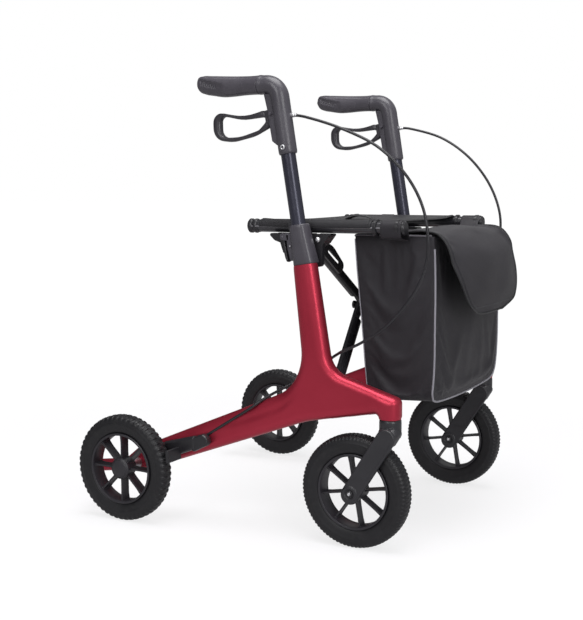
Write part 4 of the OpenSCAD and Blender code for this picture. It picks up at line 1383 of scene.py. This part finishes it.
def flap():
    """The lid flap: arched over the mouth, bulging down the front, with large round lower corners."""
    long_shares, wide_shares = np.linspace(0, 1, 54), np.linspace(-1, 1, 60)
    widest, corner = 173, 0.50
    rows = []
    for t in long_shares:
        x, z = flap_profile(t)
        over = max(0.0, (t - (1 - corner)) / corner)
        cut = 118 * (1 - math.sqrt(max(0.0, 1 - over ** 2.3)))
        half = widest - cut - 22 * (1 - smoothstep(0.08, 0.3, t))
        top = smoothstep(0, 0.2, t) * (1 - smoothstep(0.4, 0.56, t))
        face = smoothstep(0.4, 0.62, t)
        row = []
        for u in wide_shares:
            y = u * half
            arch = 1 - (y / widest) ** 2
            swell = 17 * face * arch ** 0.8 * (1 - 0.35 * smoothstep(0.8, 1, t))
            lift = 9 * (1 - face) * arch ** 2 * (0.5 + 0.5 * top) * smoothstep(0.02, 0.2, t)
            droop = 6 * smoothstep(0.8, 1.0, abs(u)) * (1 - smoothstep(0.05, 0.3, t))
            row.append((x + swell, y, z + lift - droop))
        rows.append(row)
    points = np.array(rows)
    flat = points.reshape(-1, 3)
    u = np.tile(wide_shares, len(long_shares))
    t = np.repeat(long_shares, len(wide_shares))
    free = smoothstep(0.05, 0.3, t)
    flat[:, 0] += ripple(flat, 21, 95, 1.6) * free * (flat[:, 0] > 325)
    flat[:, 2] += ripple(flat, 22, 110, 1.0) * free * (flat[:, 0] < 330)
    obj = make_object("bag_flap_cloth", grid_part(flat.reshape(points.shape)), looks["bag_fabric"])
    held = np.maximum(1 - smoothstep(0.03, 0.2, t), 0.03 + 0.5 * smoothstep(0.7, 1, np.abs(u)) * (t < 0.6))
    settle(obj, held, 12, gravity=0.5, cap_mm=5, stiff=10, bend=0.4, shrink=-0.03)
    co = points_mm(obj).reshape(points.shape)
    thicken(obj, 2.0)
    soft(obj, "bag_flap", body="flap")
    edge = np.vstack([co[4:, 0], co[-1, 1:-1], co[::-1, -1][:-4]])
    binding = cord(smooth_path(edge[::3] + [0.2, 0, -0.4], 3), 1.6, 10)
    soft_trim("bag_flap_binding", [binding], webbing_look, body="flap")
    inset = np.vstack([co[6:-3, 2], co[-4, 3:-3], co[::-1, -3][3:-6]])
    stitches = cord(smooth_path(inset[::3] + [0.4, 0, 0.5], 3), 0.55, 6)
    soft_trim("bag_flap_stitching", [stitches], thread_look, body="flap")


sling()
rail_lips()
pull_strap()
piping(*bag())
mouth_hem()
lid_strip()
bag_loops()
flap()


# ---------- CAD pieces that stay: soft edges ----------

for name, node in frame["nodes"].items():
    if node.hide_render:
        continue
    edge = node.modifiers.new("soft_edges", "BEVEL")
    edge.width = 0.35 * MM
    edge.segments = 2
    edge.limit_method = "ANGLE"
    edge.angle_limit = math.radians(35)
    edge.use_clamp_overlap = True


# ---------- Floor, light and camera ----------

def floor():
    """A pale floor that blends into the white surroundings with distance from the object."""
    half = 40 / MM
    g = Look("studio_floor")
    sheet = grid_part([[(x, y, 0) for x in (-half, half)] for y in (-half, half)])
    obj = make_object("floor", sheet, g.material)
    tone = g.patches(3, 2, 0.3, 0.7)
    g.set(Base_Color=g.blend(tone, (0.90, 0.875, 0.925), (0.91, 0.89, 0.93)), Roughness=0.9,
          Normal=g.bump(g.noise(200, 2), 0.02), Specular_IOR_Level=0.1)
    glow = g.node("ShaderNodeEmission")
    lit = g.node("ShaderNodeLightPath").outputs["Is Camera Ray"]
    g.put(glow.inputs["Strength"], g.math("MULTIPLY_ADD", lit, 0.63, 0.40))
    reach = g.node("ShaderNodeVectorMath", operation="LENGTH")
    g.put(reach.inputs[0], g.place)
    share = g.spread(reach.outputs["Value"], 0.55, 1.9, 0.74, 1.0)
    g.put(g.output.inputs[0], g.mix_shaders(share, g.shader.outputs[0], glow.outputs[0]))


def area_light(name, place, aim, size, power):
    data = bpy.data.lights.new(name, "AREA")
    data.shape = "RECTANGLE"
    data.size, data.size_y = size
    data.energy = power
    obj = bpy.data.objects.new(name, data)
    obj.location = place
    obj.rotation_euler = (Vector(aim) - Vector(place)).to_track_quat("-Z", "Y").to_euler()
    bpy.context.scene.collection.objects.link(obj)


def studio():
    """White surroundings for the camera; for the object, a sky that is bright in front and dim behind."""
    world = bpy.data.worlds.new("studio")
    bpy.context.scene.world = world
    g = Graph(world)
    seen = g.node("ShaderNodeBackground")
    g.put(seen.inputs["Color"], (1, 1, 1, 1))
    toward = g.node("ShaderNodeVectorMath", operation="DOT_PRODUCT")
    g.put(toward.inputs[0], g.node("ShaderNodeTexCoord").outputs["Generated"])
    g.put(toward.inputs[1], Vector((0.72, -0.42, 0.55)).normalized())
    sky = g.node("ShaderNodeBackground")
    g.put(sky.inputs["Color"], (0.97, 0.98, 1.0, 1))
    g.put(sky.inputs["Strength"], g.spread(toward.outputs["Value"], -0.5, 1.0, 0.04, 0.58))
    by_camera = g.node("ShaderNodeLightPath").outputs["Is Camera Ray"]
    output = g.node("ShaderNodeOutputWorld")
    g.put(output.inputs[0], g.mix_shaders(by_camera, sky.outputs[0], seen.outputs[0]))
    target = (0.0, 0.0, 0.4)
    area_light("overhead", (0.3, -0.3, 3.0), target, (2.0, 2.0), 68)
    area_light("front_box", (2.4, -2.0, 1.5), target, (0.9, 2.0), 29)
    area_light("camera_box", (-0.2, -3.2, 2.0), target, (1.1, 1.5), 24)
    area_light("back_fill", (-0.5, 2.8, 1.8), target, (2.0, 1.2), 6)
    bpy.context.scene.view_settings.view_transform = "Standard"


def camera():
    data = bpy.data.cameras.new("camera")
    data.lens, data.sensor_width = 64.75, 36
    data.clip_end = 100
    obj = bpy.data.objects.new("camera", data)
    obj.location = (1.0021, -1.9547, 0.618)
    obj.rotation_euler = (math.radians(90 - 6.163), 0, math.radians(28.428))
    bpy.context.scene.collection.objects.link(obj)
    bpy.context.scene.camera = obj


floor()
studio()
camera()
